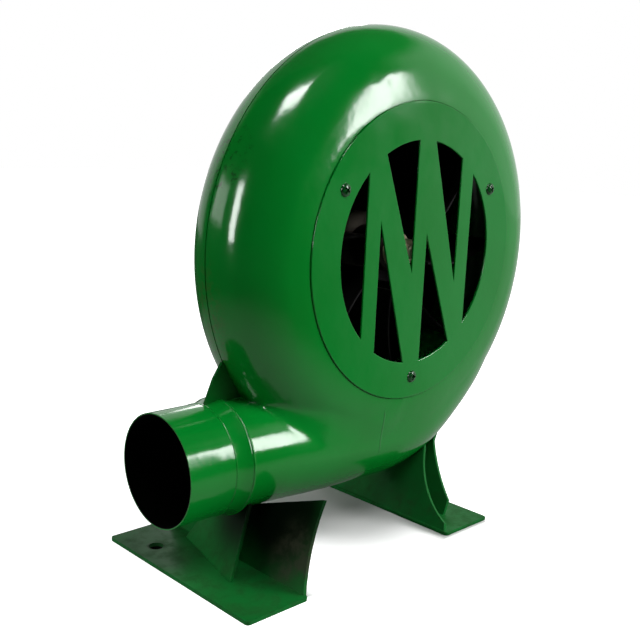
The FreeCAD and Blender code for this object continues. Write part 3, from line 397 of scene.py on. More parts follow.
def markPipe(tree, colour, rough, height):
    where, _ = objectPlace(tree)
    out = distanceTo(tree, where, (0, middleY, outletZ), (0, 1, 1))
    inside = rangeOf(tree, out, pipeMarks["bore"] - pipeMarks["edge"], pipeMarks["bore"] + pipeMarks["edge"],
                     1.0, 0.0)
    # painted shade: the bore turns near black and mirrors nothing
    colour = mixColour(tree, inside, colour, pipeMarks["shadeBlack"])
    rough = doMath(tree, "MAXIMUM", rough, times(tree, inside, pipeMarks["dull"]))
    return colour, rough, height, inside


# painted shade where the neck shades the left foot and in its bolt hole, and paint worn thin below
footMarks = {
    "grain": (95.0, 6.0, 0.65),
    "spots": [
        # painted shade under the neck, near black
        {"at": (-0.046, -0.058, 0.036), "stretch": (1.0, 0.9, 0.8), "reach": 0.044, "core": 0.35,
         "even": 0.97, "colour": (0.0008, 0.0015, 0.0008, 1)},
        # painted shade in the bolt hole
        {"at": (-0.081, 0.0, 0.0), "stretch": (1.0, 1.0, 1.0), "reach": 0.0062, "core": 0.35,
         "even": 0.97, "colour": (0.0008, 0.0015, 0.0008, 1)},
        {"at": (-0.046, -0.077, 0.014), "stretch": (1.0, 1.0, 1.0), "reach": 0.024, "core": 0.3,
         "broken": (0.38, 0.62, 0.25, 0.85), "colour": (0.045, 0.050, 0.032, 1)},
    ],
}


def markFeet(tree, colour, rough, height):
    where, _ = objectPlace(tree)
    return wearAndShadeSpots(tree, where, colour, footMarks), rough, height, None


paints = {
    "housing": {"Paint": (0.0012, 0.235, 0.024), "Deep Paint": (0.001, 0.19, 0.014)},
    "grille": {"Paint": (0.0012, 0.230, 0.026), "Deep Paint": (0.001, 0.195, 0.016), "Gloss": 0.12},
    # painted shade: the web has the housing's paint, darkened for the shade it sits in at the neck's corner
    "web": {"Paint": (0.002, 0.120, 0.014), "Deep Paint": (0.001, 0.08, 0.008), "Gloss": 0.3, "sheen": 0.06},
    "feet": {"Paint": (0.006, 0.175, 0.028), "Deep Paint": (0.010, 0.105, 0.022),
             "Dirt": (0.022, 0.060, 0.018), "Dirt Height": 0.016, "Dirt Amount": 0.4, "Gloss": 0.34,
             "sheen": 0.05},
    "footEdges": {"Paint": (0.012, 0.070, 0.016), "Deep Paint": (0.014, 0.030, 0.010),
                  "Dirt": (0.09, 0.07, 0.04), "Dirt Height": 0.050, "Dirt Amount": 0.7, "Gloss": 0.34,
                  "sheen": 0.2},
    "bareEdges": {"Paint": (0.10, 0.085, 0.050), "Deep Paint": (0.05, 0.05, 0.025),
                  "Dirt": (0.16, 0.125, 0.08), "Dirt Height": 0.050, "Dirt Amount": 0.8, "Gloss": 0.4,
                  "sheen": 0.2},
    "casting": {"Paint": (0.002, 0.19, 0.024), "Deep Paint": (0.002, 0.15, 0.016), "Peel Scale": 260.0,
                "Gloss": 0.2},
    "screws": {"Paint": (0.001, 0.08, 0.010), "Deep Paint": (0.001, 0.03, 0.004), "Gloss": 0.22},
}
metals = {
    # colour, stain, scale of the grain, how much is stained, how dull
    "zinc": ((0.62, 0.61, 0.57), (0.30, 0.27, 0.2), 700.0, 0.4, 0.28),
    "bright": ((0.50, 0.45, 0.36), (0.10, 0.07, 0.04), 1200.0, 0.9, 0.24),
    "nose": ((0.85, 0.74, 0.52), (0.30, 0.22, 0.12), 600.0, 0.6, 0.30),
    "hub": ((0.050, 0.045, 0.036), (0.02, 0.016, 0.01), 300.0, 0.7, 0.45),
    "iron": ((0.22, 0.22, 0.22), (0.08, 0.07, 0.06), 350.0, 0.6, 0.45),
    "gear": ((0.42, 0.42, 0.43), (0.09, 0.07, 0.04), 800.0, 0.8, 0.22),
    "ring": ((0.66, 0.66, 0.67), (0.4, 0.38, 0.35), 1500.0, 0.2, 0.12),
    "bronze": ((0.62, 0.40, 0.17), (0.25, 0.15, 0.06), 900.0, 0.5, 0.28),
}
cast = {"bump": 0.4}
metalExtras = {"nose": {"metallic": 0.25}, "hub": cast, "iron": cast}
looks = {
    "shell": enamel("shellEnamel", markShell, **paints["housing"]),
    "pipe": enamel("pipeEnamel", markPipe, **paints["housing"]),
    "feet": enamel("feetEnamel", markFeet, **paints["feet"]),
    "black": blackSheet("satinBlack"),
    "inside": paintedShadeInside("paintedShadeInside"),
    "wood": gripWood("gripHardwood"),
}
for paintName, paint in paints.items():
    if paintName not in looks:
        looks[paintName] = enamel(paintName + "Enamel", **paint)
for metalName, values in metals.items():
    looks[metalName] = metal(metalName + "Metal", values, **metalExtras.get(metalName, {}))

# which finish each piece has
finishes = {
    "housing": ["front_shell", "back_shell", "gear_plate", "gear_case"],
    "pipe": ["outlet_pipe"],
    "web": ["throat_web"],
    "grille": ["intake_grille"],
    "feet": ["left_foot", "left_rib", "right_foot", "right_rib"],
    "casting": ["crank_arm"],
    "screws": ["grille_screw_%d" % number for number in range(1, 4)],
    "zinc": ["crank_nut", "crank_washer", "spindle_nut", "layshaft_bolt"]
    + ["case_screw_%d" % number for number in range(1, 7)],
    "bright": ["crank_shaft", "grip_spindle"],
    "nose": ["fan_shaft", "fan_washer", "fan_nut"],
    "hub": ["fan_hub"],
    "iron": ["bearing_housing"],
    "gear": ["fan_pinion", "layshaft_gear", "layshaft_pinion", "crank_gear"],
    "ring": ["front_bearing", "rear_bearing"],
    "bronze": ["inner_bush", "outer_bush"],
    "black": ["fan_disc"] + ["fan_blade_%d" % number for number in range(1, 9)],
    "wood": ["wooden_grip"],
}


def dressNodes():
    for look, names in finishes.items():
        for name in names:
            mesh = nodes[name].data
            mesh.materials.clear()
            mesh.materials.append(looks[look])


dressNodes()
print("materials set")

# the two pressed halves of the scroll housing: lengths in mm, from the fan's axis and the middle plane
shell = {
    "core": 92.2, "section": 27.8, "wall": 1.6,
    "outsideSlope": 1.5,                                  # how steeply a section runs on outside itself
    # angle below +X, lift, section
    "hornStations": [(25, 0.0, 24.8), (45, 1.9, 27.4), (60, 5.2, 27.7), (75, 10.4, 28.1), (90, 13.0, 28.3)],
    # reach, drop, section; and between which reaches the corner with the ring lies
    "neckStations": [(0, 105.2, 28.3), (51, 103.8, 28.5), (85, 101.7, 28.4), (108.5, 100.9, 28.3)],
    "cornerReach": (60.0, 119.0),
    "levelRise": 0.5, "levelFrom": 85, "levelTo": 105,    # how high the lower parts may stand
    # how softly the neck runs into the ring
    "blend": 14.0, "blendShare": 1.3, "blendCurve": 28, "blendSpread": 55.0, "blendOpens": 20,
    "neckOpens": 40, "underShare": 0.985,                 # over how many mm the neck's upper side opens
    # the face rises softly to the grille
    "landRise": 2.8, "rimRise": 3.3, "rimFrom": 81.1, "rimTo": 108.0, "rimLip": 0.3, "rimLead": 1.5,
    "frontRings": [62.5, 66, 72, 78, 80.7, 80.9, 81.1, 81.6, 82.3, 83.2, 84.2, 85.4, 86.6, 87.8, 89.1, 90.5],
    "backRings": [16.2, 30, 46, 62, 74, 82, 90.5],
    "seamDepth": 0.5, "seamWidth": 0.8,
    "ringColumns": 200, "valleyColumns": 40, "neckColumns": 10, "innerSteps": 10, "outerSteps": 24,
    "closeOver": 40,                                      # degrees over which rows draw together
}


def ease(value, low, high):
    share = min(max((value - low) / (high - low), 0.0), 1.0)
    return share * share * (3 - 2 * share)


def smoothFit(stations, value):
    # the two measures of a smooth curve through stations
    value = min(max(value, stations[0][0]), stations[-1][0])
    index = max(number for number in range(len(stations) - 1) if stations[number][0] <= value)
    low, high = stations[index], stations[index + 1]
    before, after = stations[max(index - 1, 0)], stations[min(index + 2, len(stations) - 1)]
    run, found = high[0] - low[0], []
    share = (value - low[0]) / run
    for place in (1, 2):
        leave = (high[place] - before[place]) / (high[0] - before[0]) * run
        arrive = (after[place] - low[place]) / (after[0] - low[0]) * run
        found.append((2 * share ** 3 - 3 * share ** 2 + 1) * low[place]
                     + (share ** 3 - 2 * share ** 2 + share) * leave
                     + (3 * share ** 2 - 2 * share ** 3) * high[place] + (share ** 3 - share ** 2) * arrive)
    return found


def arch(section, past):
    # height of a round section at a distance past its centre line; outside it runs on below zero
    if past <= 0:
        return section
    if past >= section:
        return (section - past) * shell["outsideSlope"]
    return math.sqrt(section * section - past * past)


def sectionHeight(x, z):
    # half the housing's depth at a place, from the fan's axis
    reach = math.hypot(x, z)
    ring = arch(shell["section"], reach - shell["core"])
    level = shell["section"] + shell["levelRise"] * ease(reach, shell["levelFrom"], shell["levelTo"])
    if z >= 0:
        return max(ring, 0.0)
    if x >= 0:
        turn = math.degrees(math.atan2(-z, x))
        if turn < shell["hornStations"][0][0]:
            return max(ring, 0.0)
        lift, section = smoothFit(shell["hornStations"], turn)
        return max(ring, min(arch(section, reach - shell["core"] - lift), level), 0.0)
    drop, section = smoothFit(shell["neckStations"], -x)
    past = z + drop
    if past > 0:
        past *= ease(-x, 0, shell["neckOpens"]) ** 0.5
        neck = min(arch(section, past), level)
    else:
        neck = arch(section, -past)
    top = max(ring, neck)
    spread = min(math.hypot(x, drop) - shell["core"], shell["blendSpread"])
    gap = shell["blendCurve"] - math.sqrt(shell["blendCurve"] ** 2 - spread * spread / 4)
    blend = min(shell["blend"], 4 * gap, shell["blendShare"] * top) * ease(-x, 0, shell["blendOpens"])
    if blend <= 0.01:
        return max(top, 0.0)
    near = max(blend - abs(ring - neck), 0.0)
    return top + near * near / (4 * blend)


def halve(low, high, short):
    # the place between low and high where short stops being true
    for _ in range(40):
        middle = (low + high) / 2
        if short(middle):
            low = middle
        else:
            high = middle
    return middle


def shellCorner():
    # where the ring's edge meets the neck's upper edge
    def insideRing(reach):
        drop, section = smoothFit(shell["neckStations"], reach)
        return math.hypot(reach, drop - section) < shell["core"] + shell["section"]

    reach = halve(*shell["cornerReach"], insideRing)
    drop, section = smoothFit(shell["neckStations"], reach)
    return -reach, section - drop


def meetingReach(turn):
    # along a ray, where the neck rises above the ring
    def underRing(reach):
        x, z = reach * math.cos(turn), reach * math.sin(turn)
        drop, section = smoothFit(shell["neckStations"], max(-x, 0.0))
        return arch(section, abs(z + drop)) <= arch(shell["section"], reach - shell["core"])

    return halve(shell["core"], shell["core"] + shell["section"], underRing)


def shellColumn(rings, turn, meeting, edge, closing):
    # points from the hole's edge to the meeting point and on to the outline
    steps, outer = shell["innerSteps"], shell["outerSteps"]
    unit = (math.cos(turn), math.sin(turn))
    column = [(unit[0] * ring, unit[1] * ring) for ring in rings]
    for step in range(1, steps + 1):
        share = step / steps
        share += (math.sin(share * math.pi / 2) - share) * closing
        reach = rings[-1] + (meeting - rings[-1]) * share
        column.append((unit[0] * reach, unit[1] * reach))
    top = column[-1]
    for step in range(1, outer + 1):
        share = step / outer
        single, double = math.sin(share * math.pi / 2), (1 - math.cos(share * math.pi)) / 2
        share = single + (double - single) * closing
        column.append((top[0] + (edge[0] - top[0]) * share, top[1] + (edge[1] - top[1]) * share))
    return column


def ringColumns(rings, cornerTurn):
    # from the corner over the top and down to straight under the fan
    rim, plain = shell["core"] + shell["section"], meetingReach(-math.pi / 2)
    columns, count = [], shell["ringColumns"]
    for index in range(count):
        turn = cornerTurn + 2 * math.pi - (cornerTurn + 2.5 * math.pi) * index / count
        unit = (math.cos(turn), math.sin(turn))
        closing = 1 - ease(math.degrees(cornerTurn + 2 * math.pi - turn), 0, shell["closeOver"])
        edge, below = rim, math.degrees(math.atan2(-unit[1], unit[0]))
        if unit[0] >= 0 and below > shell["hornStations"][0][0]:
            lift, section = smoothFit(shell["hornStations"], below)
            edge = max(rim, shell["core"] + lift + section)
        meeting = plain + (rim - plain) * closing
        columns.append(shellColumn(rings, turn, meeting, (unit[0] * edge, unit[1] * edge), closing))
    return columns


def valleyColumns(rings, cornerTurn):
    # from straight under the fan to the corner, along the valley between ring and neck
    columns, count = [], shell["valleyColumns"]
    for index in range(count + 1):
        turn = -math.pi / 2 + (cornerTurn + math.pi / 2) * index / count
        meeting = meetingReach(turn) if index < count else shell["core"] + shell["section"]
        x = meeting * math.cos(turn) * shell["underShare"]
        drop, section = smoothFit(shell["neckStations"], -x)
        columns.append(shellColumn(rings, turn, meeting, (x, -drop - section), (index / count) ** 2))
    return columns


def neckColumns(corner):
    # across the neck, from the corner to its end
    columns, count, outer = [], shell["neckColumns"], shell["outerSteps"]
    end, under = -shell["neckStations"][-1][0], corner[0] * shell["underShare"]
    places = [(1 - math.cos(step / outer * math.pi)) / 2 for step in range(outer + 1)]
    for index in range(1, count + 1):
        share = index / count
        high, low = corner[0] + (end - corner[0]) * share, under + (end - under) * share
        highDrop, highSection = smoothFit(shell["neckStations"], -high)
        lowDrop, lowSection = smoothFit(shell["neckStations"], -low)
        start, stop = (high, highSection - highDrop), (low, -lowDrop - lowSection)
        columns.append([(start[0] + (stop[0] - start[0]) * place, start[1] + (stop[1] - start[1]) * place)
                        for place in places])
    return columns


def frontRise(reach):
    # how far the intake's land and rim stand above the round section
    if reach >= shell["rimTo"]:
        return 0.0
    if reach < shell["rimFrom"] - shell["rimLip"]:
        return shell["landRise"]
    return shell["rimRise"] * (1 - ease(reach, shell["rimFrom"] - shell["rimLead"], shell["rimTo"]))


def buildShell(name, facing):
    # facing is -1 for the intake half and 1 for the crank half
    front = facing < 0
    rings = shell["frontRings"] if front else shell["backRings"]
    corner = shellCorner()
    cornerTurn = math.atan2(corner[1], corner[0])                       # below -X, so under -90 degrees
    columns = ringColumns(rings, cornerTurn) + valleyColumns(rings, cornerTurn)
    mesh, known, edges = bmesh.new(), {}, set()

    def spot(point, onEdge):
        # the vertex at a place; places that meet share one
        key = (round(point[0], 2), round(point[1], 2))
        if key not in known:
            if onEdge:
                y = 0.0 if front else shell["seamWidth"]
            else:
                y = sectionHeight(*point) + (frontRise(math.hypot(*point)) if front else 0.0)
            known[key] = mesh.verts.new((fanX + point[0] / 1000, middleY + facing * y / 1000,
                                         axisZ + point[1] / 1000))
        if onEdge:
            edges.add(known[key])
        return known[key]

    last = len(columns) - 1
    firstOuter = len(columns[0]) - shell["outerSteps"] - 1
    rows = []
    for index, column in enumerate(columns):
        onEdge = {len(column) - 1}
        if index == 0:
            onEdge.update(range(firstOuter, len(column)))
        elif index == last:
            onEdge.add(firstOuter)
        rows.append([spot(point, place in onEdge) for place, point in enumerate(column)])
    for column in neckColumns(corner):
        rows.append([spot(point, place in (0, len(column) - 1)) for place, point in enumerate(column)])
    for index in range(len(rows) - 1):
        first = rows[index][firstOuter:] if index == last else rows[index]
        second = rows[index + 1]
        for place in range(len(first) - 1):
            quad = (first[place], first[place + 1], second[place + 1], second[place])
            corners = list(dict.fromkeys(quad))    # rows that meet share a corner
            if len(corners) > 2:
                mesh.faces.new(corners)
    if not front:
        addSeam(mesh, edges)
    mesh.normal_update()
    if sum(face.normal.y * face.calc_area() for face in mesh.faces) * facing < 0:
        bmesh.ops.reverse_faces(mesh, faces=mesh.faces)
    return meshFrom(mesh, name)


def meshFrom(mesh, name):
    data = bpy.data.meshes.new(name)
    mesh.to_mesh(data)
    mesh.free()
    return data


def addSeam(mesh, edges):
    # the edge of the back half steps in by the seam's depth, and goes on to the middle plane
    rim = [edge for edge in mesh.edges if edge.is_boundary and edges.issuperset(edge.verts)]
    pulls = {}
    for edge in rim:
        start = edge.verts[0].co
        line = edge.verts[1].co - start
        side = Vector((line.z, 0, -line.x)).normalized()
        if side.dot(edge.link_faces[0].calc_center_median() - start) < 0:
            side.negate()
        for vertex in edge.verts:
            pulls.setdefault(vertex, []).append(side)
    inset = {}
    for vertex, sides in pulls.items():
        low = vertex.co + sum(sides, Vector()).normalized() * shell["seamDepth"] / 1000
        inset[vertex] = (mesh.verts.new(low), mesh.verts.new((low.x, middleY, low.z)))
    for edge in rim:
        loop = edge.link_loops[0]
        first, second = loop.link_loop_next.vert, loop.vert
        mesh.faces.new((first, second, inset[second][0], inset[first][0]))
        mesh.faces.new((inset[first][0], inset[second][0], inset[second][1], inset[first][1]))


# a wide flat face keeps its own normals beside the narrow faces of its rounded edge
flatEdges = {"leastBend": 4, "timesWider": 5}


def keepFlats(data):
    mesh = bmesh.new()
    mesh.from_mesh(data)
    for edge in mesh.edges:
        if len(edge.link_faces) == 2 and edge.calc_face_angle(0) > math.radians(flatEdges["leastBend"]):
            small, large = sorted(face.calc_area() for face in edge.link_faces)
            if large > small * flatEdges["timesWider"]:
                edge.smooth = False
    mesh.to_mesh(data)
    mesh.free()


def showPiece(name, data, body, materials, replaced=(), sharp=35.0, flats=False):
    # puts a finished mesh in the scene, on its body, in place of its CAD nodes
    data.materials.clear()
    for material in materials:
        data.materials.append(looks[material])
    data.shade_smooth()
    data.set_sharp_from_angle(angle=math.radians(sharp))
    if flats:
        keepFlats(data)
    piece = putIn(name, data)
    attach(piece, body)
    if replaced:
        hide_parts(*replaced)


def finished(data, prepare=None):
    # runs modifiers over a mesh or a curve and gives back a plain mesh
    helper = putIn("helper", data)
    if prepare:
        prepare(helper)
    result = bpy.data.meshes.new_from_object(helper.evaluated_get(bpy.context.evaluated_depsgraph_get()))
    bpy.data.objects.remove(helper)
    return result


def thicken(helper):
    wall = helper.modifiers.new("wall", "SOLIDIFY")
    wall.thickness = shell["wall"] / 1000
    wall.offset = -1.0
    wall.material_offset = 1


for shellName, facing, node in (("intake_half", -1, "front_shell"), ("crank_half", 1, "back_shell")):
    half = buildShell(shellName, facing)
    half.materials.append(looks["shell"])
    half.materials.append(looks["inside"])
    showPiece(shellName, finished(half, thicken), "housing", ["shell", "inside"], [node])
print("housing halves built")

# the intake grille: a thin plate with rounded edges, lengths in mm
grille = {
    "radius": 80.5, "opening": 60.4, "sheet": 1.2, "edge": 0.3, "front": 31.8,
    "barHalf": 5.3, "barSpacing": 37.4, "wedgeReach": 30.3, "wedgeApex": 10.3, "slotReach": 8.2,
    "slotApex": 18.0, "screwCircle": 68.7, "screwTurns": [30, 150, 270],
    "rimSteps": 144, "arcSteps": 24, "edgeSteps": 2,
}


def grilleWindows():
    rim, half, steps = grille["opening"], grille["barHalf"], grille["arcSteps"]
    wedge, apex = grille["wedgeReach"], grille["wedgeApex"]
    slot, slotApex = grille["slotReach"], grille["slotApex"]
    far, near, windows = grille["barSpacing"] + half, grille["barSpacing"] - half, []

    def onRim(x):
        return math.sqrt(rim * rim - x * x)

    for side in (1, -1):
        # straight corners first; the window's last side follows the round opening
        for corners in ([(far, -onRim(far)), (far, onRim(far))],
                        [(-half, -apex), (-half, onRim(half)), (-wedge, onRim(wedge))],
                        [(near, -slotApex), (near, onRim(near)), (slot, onRim(slot))]):
            points = [(x * side, z * side) for x, z in corners]
            begin, end = (math.atan2(z, x) for x, z in points[-2:])
            sweep = (end - begin + math.pi) % (2 * math.pi) - math.pi
            turns = [begin + sweep * step / steps for step in range(1, steps)]
            windows.append(points[:-1] + [(rim * math.cos(turn), rim * math.sin(turn)) for turn in turns]
                           + points[-1:])
    return windows


def merged(data):
    mesh = bmesh.new()
    mesh.from_mesh(data)
    bmesh.ops.remove_doubles(mesh, verts=mesh.verts, dist=mergeReach)
    return mesh


def buildGrille():
    curve = bpy.data.curves.new("grilleOutline", "CURVE")
    curve.dimensions = "2D"
    curve.fill_mode = "BOTH"
    curve.bevel_depth = grille["edge"] / 1000
    curve.offset = -grille["edge"] / 1000
    curve.bevel_resolution = grille["edgeSteps"]
    curve.extrude = (grille["sheet"] / 2 - grille["edge"]) / 1000
    turns = [2 * math.pi * step / grille["rimSteps"] for step in range(grille["rimSteps"])]
    rim = [(grille["radius"] * math.cos(turn), grille["radius"] * math.sin(turn)) for turn in turns]
    for points in [rim] + grilleWindows():
        line = curve.splines.new("POLY")
        line.points.add(len(points) - 1)
        for point, (x, z) in zip(line.points, points):
            point.co = (x / 1000, z / 1000, 0, 1)
        line.use_cyclic_u = True
    data = finished(curve)
    middle = (grille["front"] - grille["sheet"] / 2) / 1000
    data.transform(Matrix.Translation((fanX, middleY - middle, axisZ)) @ Matrix.Rotation(math.pi / 2, 4, "X"))
    return meshFrom(merged(data), "grillePlate")


showPiece("grille_plate", buildGrille(), "housing", ["grille"], ["intake_grille"], 50.0, True)
print("grille built")

# screw heads with a cross recess, placed by geometry nodes; lengths in metres
screws = {
    "grille": {"Head Radius": 0.0034, "Head Height": 0.0016, "Slot Width": 0.0010, "Slot Depth": 0.0011},
    "case": {"Head Radius": 0.0034, "Head Height": 0.0022, "Slot Width": 0.0010, "Slot Depth": 0.0014},
    "segments": 36, "rings": 18, "slotRun": 1.15, "mostTurn": 1.5, "seed": 7,
}


def joined(tree, x=None, y=None, z=None):
    # three measures as one vector
    made = addNode(tree, "ShaderNodeCombineXYZ")
    for axis, value in zip("XYZ", (x, y, z)):
        feed(tree, value, made.inputs[axis])
    return made.outputs[0]


def buildScrewTree(material):
    measures = [(label, "NodeSocketFloat", 0.002) for label in screws["case"]]
    tree, start, end = startGroup("screwHeads_" + material, "GeometryNodeTree",
                                  [("Spots", "NodeSocketGeometry", None)] + measures,
                                  [("Heads", "NodeSocketGeometry")])
    radius, height, width, depth = (start.outputs[label] for label in screws["case"])
    ball = addNode(tree, "GeometryNodeMeshUVSphere")
    ball.inputs["Segments"].default_value = screws["segments"]
    ball.inputs["Rings"].default_value = screws["rings"]
    ball.inputs["Radius"].default_value = 1.0
    dome = addNode(tree, "GeometryNodeTransform")
    feed(tree, ball.outputs["Mesh"], dome.inputs["Geometry"])
    feed(tree, joined(tree, radius, height, radius), dome.inputs["Scale"])
    cut = addNode(tree, "GeometryNodeMeshBoolean", operation="DIFFERENCE")
    feed(tree, dome.outputs[0], cut.inputs["Mesh 1"])
    deep, run = times(tree, depth, 2.0), times(tree, radius, screws["slotRun"])
    for face in (-1, 1):
        for size in ((run, deep, width), (width, deep, run)):
            box = addNode(tree, "GeometryNodeMeshCube")
            feed(tree, joined(tree, *size), box.inputs["Size"])
            push = addNode(tree, "GeometryNodeTransform")
            feed(tree, box.outputs["Mesh"], push.inputs["Geometry"])
            feed(tree, joined(tree, y=times(tree, height, float(face))), push.inputs["Translation"])
            feed(tree, push.outputs[0], cut.inputs["Mesh 2"])
    turnBy = addNode(tree, "FunctionNodeRandomValue", data_type="FLOAT")
    turnBy.inputs[2].default_value = 0.0
    turnBy.inputs[3].default_value = screws["mostTurn"]
    turnBy.inputs["Seed"].default_value = screws["seed"]
    spread = addNode(tree, "GeometryNodeInstanceOnPoints")
    feed(tree, start.outputs["Spots"], spread.inputs["Points"])
    feed(tree, cut.outputs["Mesh"], spread.inputs["Instance"])
    feed(tree, joined(tree, y=turnBy.outputs[1]), spread.inputs["Rotation"])
    real = addNode(tree, "GeometryNodeRealizeInstances")
    feed(tree, spread.outputs[0], real.inputs[0])
    dress = addNode(tree, "GeometryNodeSetMaterial")
    dress.inputs["Material"].default_value = looks[material]
    feed(tree, real.outputs[0], dress.inputs["Geometry"])
    feed(tree, dress.outputs[0], end.inputs["Heads"])
    return tree


def screwHeads(spots, kind, material):
    # one plain mesh of a head at each spot
    tree = buildScrewTree(material)
    data = bpy.data.meshes.new("spots")
    data.from_pydata(spots, [], [])

    def prepare(helper):
        grown = helper.modifiers.new("grown", "NODES")
        grown.node_group = tree
        for item in tree.interface.items_tree:
            if item.name in screws[kind] and item.in_out == "INPUT":
                grown[item.identifier] = screws[kind][item.name]

    return finished(data, prepare)


def addScrews():
    circle, face = grille["screwCircle"] / 1000, middleY - grille["front"] / 1000
    turns = [math.radians(turn) for turn in grille["screwTurns"]]
    spots = [(fanX + circle * math.cos(turn), face, axisZ + circle * math.sin(turn)) for turn in turns]
    heads = screwHeads(spots, "grille", "screws")
    showPiece("grille_screw_heads", heads, "housing", ["screws"], finishes["screws"])
    names = [name for name in finishes["zinc"] if name.startswith("case_screw")]
    spots, tall = [], screws["case"]["Head Height"]
    for name in names:
        low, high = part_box(name)
        spots.append(((low[0] + high[0]) / 2, high[1] - tall, (low[2] + high[2]) / 2))
    heads = screwHeads(spots, "case", "zinc")
    showPiece("case_screw_heads", heads, "housing", ["zinc"], names)


addScrews()
print("screws placed")

# sheet edges and cast edges: a copy of the solid with its corners rounded
rounded = {
    # width of the rounding in mm, body, slot, finish of the faces and of the rounding, name of the piece
    "left_foot": (0.45, "housing", "green_enamel", "feet", "footEdges", "left_foot_sheet"),
    "right_foot": (0.45, "housing", "green_enamel", "feet", "footEdges", "right_foot_sheet"),
    "left_rib": (0.40, "housing", "green_enamel", "feet", "bareEdges", "left_rib_sheet"),
    "right_rib": (0.40, "housing", "green_enamel", "feet", "footEdges", "right_rib_sheet"),
    "crank_arm": (1.4, "crank", "green_casting", "casting", "casting", "crank_arm_casting"),
}
# in degrees: corners that bend more than this are rounded, and faces that bend less than flat are joined
rounding = {"steps": 3, "corner": 40, "flat": 2.0}


def roundedCopy(name, width, main, edge):
    mesh, flat = merged(nodes[name].data), math.radians(rounding["flat"])
    bmesh.ops.dissolve_limit(mesh, angle_limit=flat, verts=mesh.verts, edges=mesh.edges)

    def prepare(helper):
        soft = helper.modifiers.new("soft", "BEVEL")
        soft.width = width / 1000
        soft.segments = rounding["steps"]
        soft.limit_method = "ANGLE"
        soft.angle_limit = math.radians(rounding["corner"])
        soft.use_clamp_overlap = True
        soft.material = 1 if main != edge else -1
        for look in (main, edge):
            helper.data.materials.append(looks[look])

    return finished(meshFrom(mesh, name + "_rounded"), prepare)


for name, (width, body, slot, main, edge, piece) in rounded.items():
    data = roundedCopy(name, width, main, edge)
    showPiece(piece, data, body, [main, edge] if main != edge else [main], [name], 50.0, True)
print("sheet edges rounded")


def turned(name, outlines, around, placed):
    # closed outlines turned round an axis; placed gives the point at a radius, a place along and an angle
    mesh, angles = bmesh.new(), [2 * math.pi * step / around for step in range(around)]
    for outline in outlines:
        rings = [[mesh.verts.new(placed(radius, along, angle)) for angle in angles]
                 for radius, along in outline]
        for index, ring in enumerate(rings):
            after = rings[(index + 1) % len(rings)]
            for step in range(around):
                follow = (step + 1) % around
                mesh.faces.new((ring[step], after[step], after[follow], ring[follow]))
    bmesh.ops.recalc_face_normals(mesh, faces=mesh.faces)
    return meshFrom(mesh, name)


# the turned grip: lengths in mm, along Y
grip = {
    "start": 50.0, "stop": 126.0, "end": 10.5, "bulge": 3.43, "fullness": 1.2, "bore": 4.2, "edge": 1.8,
    "grooves": [8.0, 10.6, 65.4, 68.0], "grooveDepth": 0.7, "grooveWidth": 1.1,
    "around": 72, "along": 190, "edgeSteps": 6,
}


def gripOutline():
    length, edge, steps = grip["stop"] - grip["start"], grip["edge"], grip["edgeSteps"]
    outline = [(grip["bore"], 0.0)]
    for step in range(1, steps + 1):
        turn = math.pi / 2 * step / steps
        outline.append((grip["end"] - edge * (1 - math.sin(turn)), edge * (1 - math.cos(turn))))
    for step in range(1, grip["along"]):
        place = edge + (length - 2 * edge) * step / grip["along"]
        radius = grip["end"] + grip["bulge"] * math.sin(math.pi * place / length) ** grip["fullness"]
        for groove in grip["grooves"]:
            away = abs(place - groove) / (grip["grooveWidth"] / 2)
            if away < 1:
                radius -= grip["grooveDepth"] * math.cos(away * math.pi / 2)
        outline.append((radius, place))
    return outline + [(radius, length - place) for radius, place in reversed(outline[:steps + 1])]


def buildGrip():
    low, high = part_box("wooden_grip")
    middleX, middleZ = (low[0] + high[0]) / 2, (low[2] + high[2]) / 2

    def placed(radius, along, angle):
        return (middleX + radius / 1000 * math.cos(angle), (grip["start"] + along) / 1000,
                middleZ + radius / 1000 * math.sin(angle))

    return turned("turned_grip", [gripOutline()], grip["around"], placed)


showPiece("turned_grip", buildGrip(), "grip", ["wood"], ["wooden_grip"], 50.0)
print("grip turned")

# two rolled ridges on the outlet pipe, one at each end of its swelling
ridges = {
    "spots": [(-0.0660, 0.02945, 0.00085), (-0.0757, 0.02796, 0.00060)],    # place, middle radius, half width
    "around": 160, "across": 14,
}


def buildRidges():
    bends = [2 * math.pi * step / ridges["across"] for step in range(ridges["across"])]
    outlines = [[(radius + half * math.cos(bend), x + half * math.sin(bend)) for bend in bends]
                for x, radius, half in ridges["spots"]]

    def placed(radius, along, angle):
        return (along, middleY + radius * math.sin(angle), outletZ + radius * math.cos(angle))

    return turned("pipeRidges", outlines, ridges["around"], placed)


showPiece("pipe_ridges", buildRidges(), "housing", ["pipe"])
print("pipe ridges built")

studio = {
    "floorSize": 8.0,
    # the shaded table under the housing; past shadeTo it is pure white, as it is outside the feet's ground
    "shade": (0.035, 0.002, 0.0), "shadeStretch": (0.9, 0.75, 1),
    "shadeFrom": 0.035, "shadeTo": 0.075, "shadeHalf": (0.045, 0.055),
    "footprint": (0.0, -0.033, 0.0925, 0.0565), "footprintEdge": (-0.003, 0.001),    # middle and half sizes
    "seenFloor": (0.72, 0.72, 0.72, 1),            # how pale the shaded table is
    "holeX": 0.081, "holeEdge": (0.0055, 0.0065), "holePaintedShade": (0.01, 0.01, 0.01, 1),    # painted shadow on the floor under the bolt holes
    # what the table throws on the machine: a bright side, in degrees from +X, and a glow close by
    "brightSide": 0.55, "darkSide": 0.03, "sideEdge": (0.5, 0.8), "brightTurn": 5.0,
    "nearMiddle": (0.0, -0.03, 0.0), "nearGlow": 0.45, "nearFrom": 0.15, "nearTo": 0.50,
    "underTo": 0.14, "underGlow": 0.15,            # under the housing it throws only this share
    "backdrop": 0.8, "backdropTurn": 35.0, "backdropEdge": (0.15, 0.38), "backdropTop": (0.60, 0.72),
    "overhead": 0.06, "room": 0.012,
    "middle": (0.04, -0.03, 0.15),                 # what the soft boxes face
}
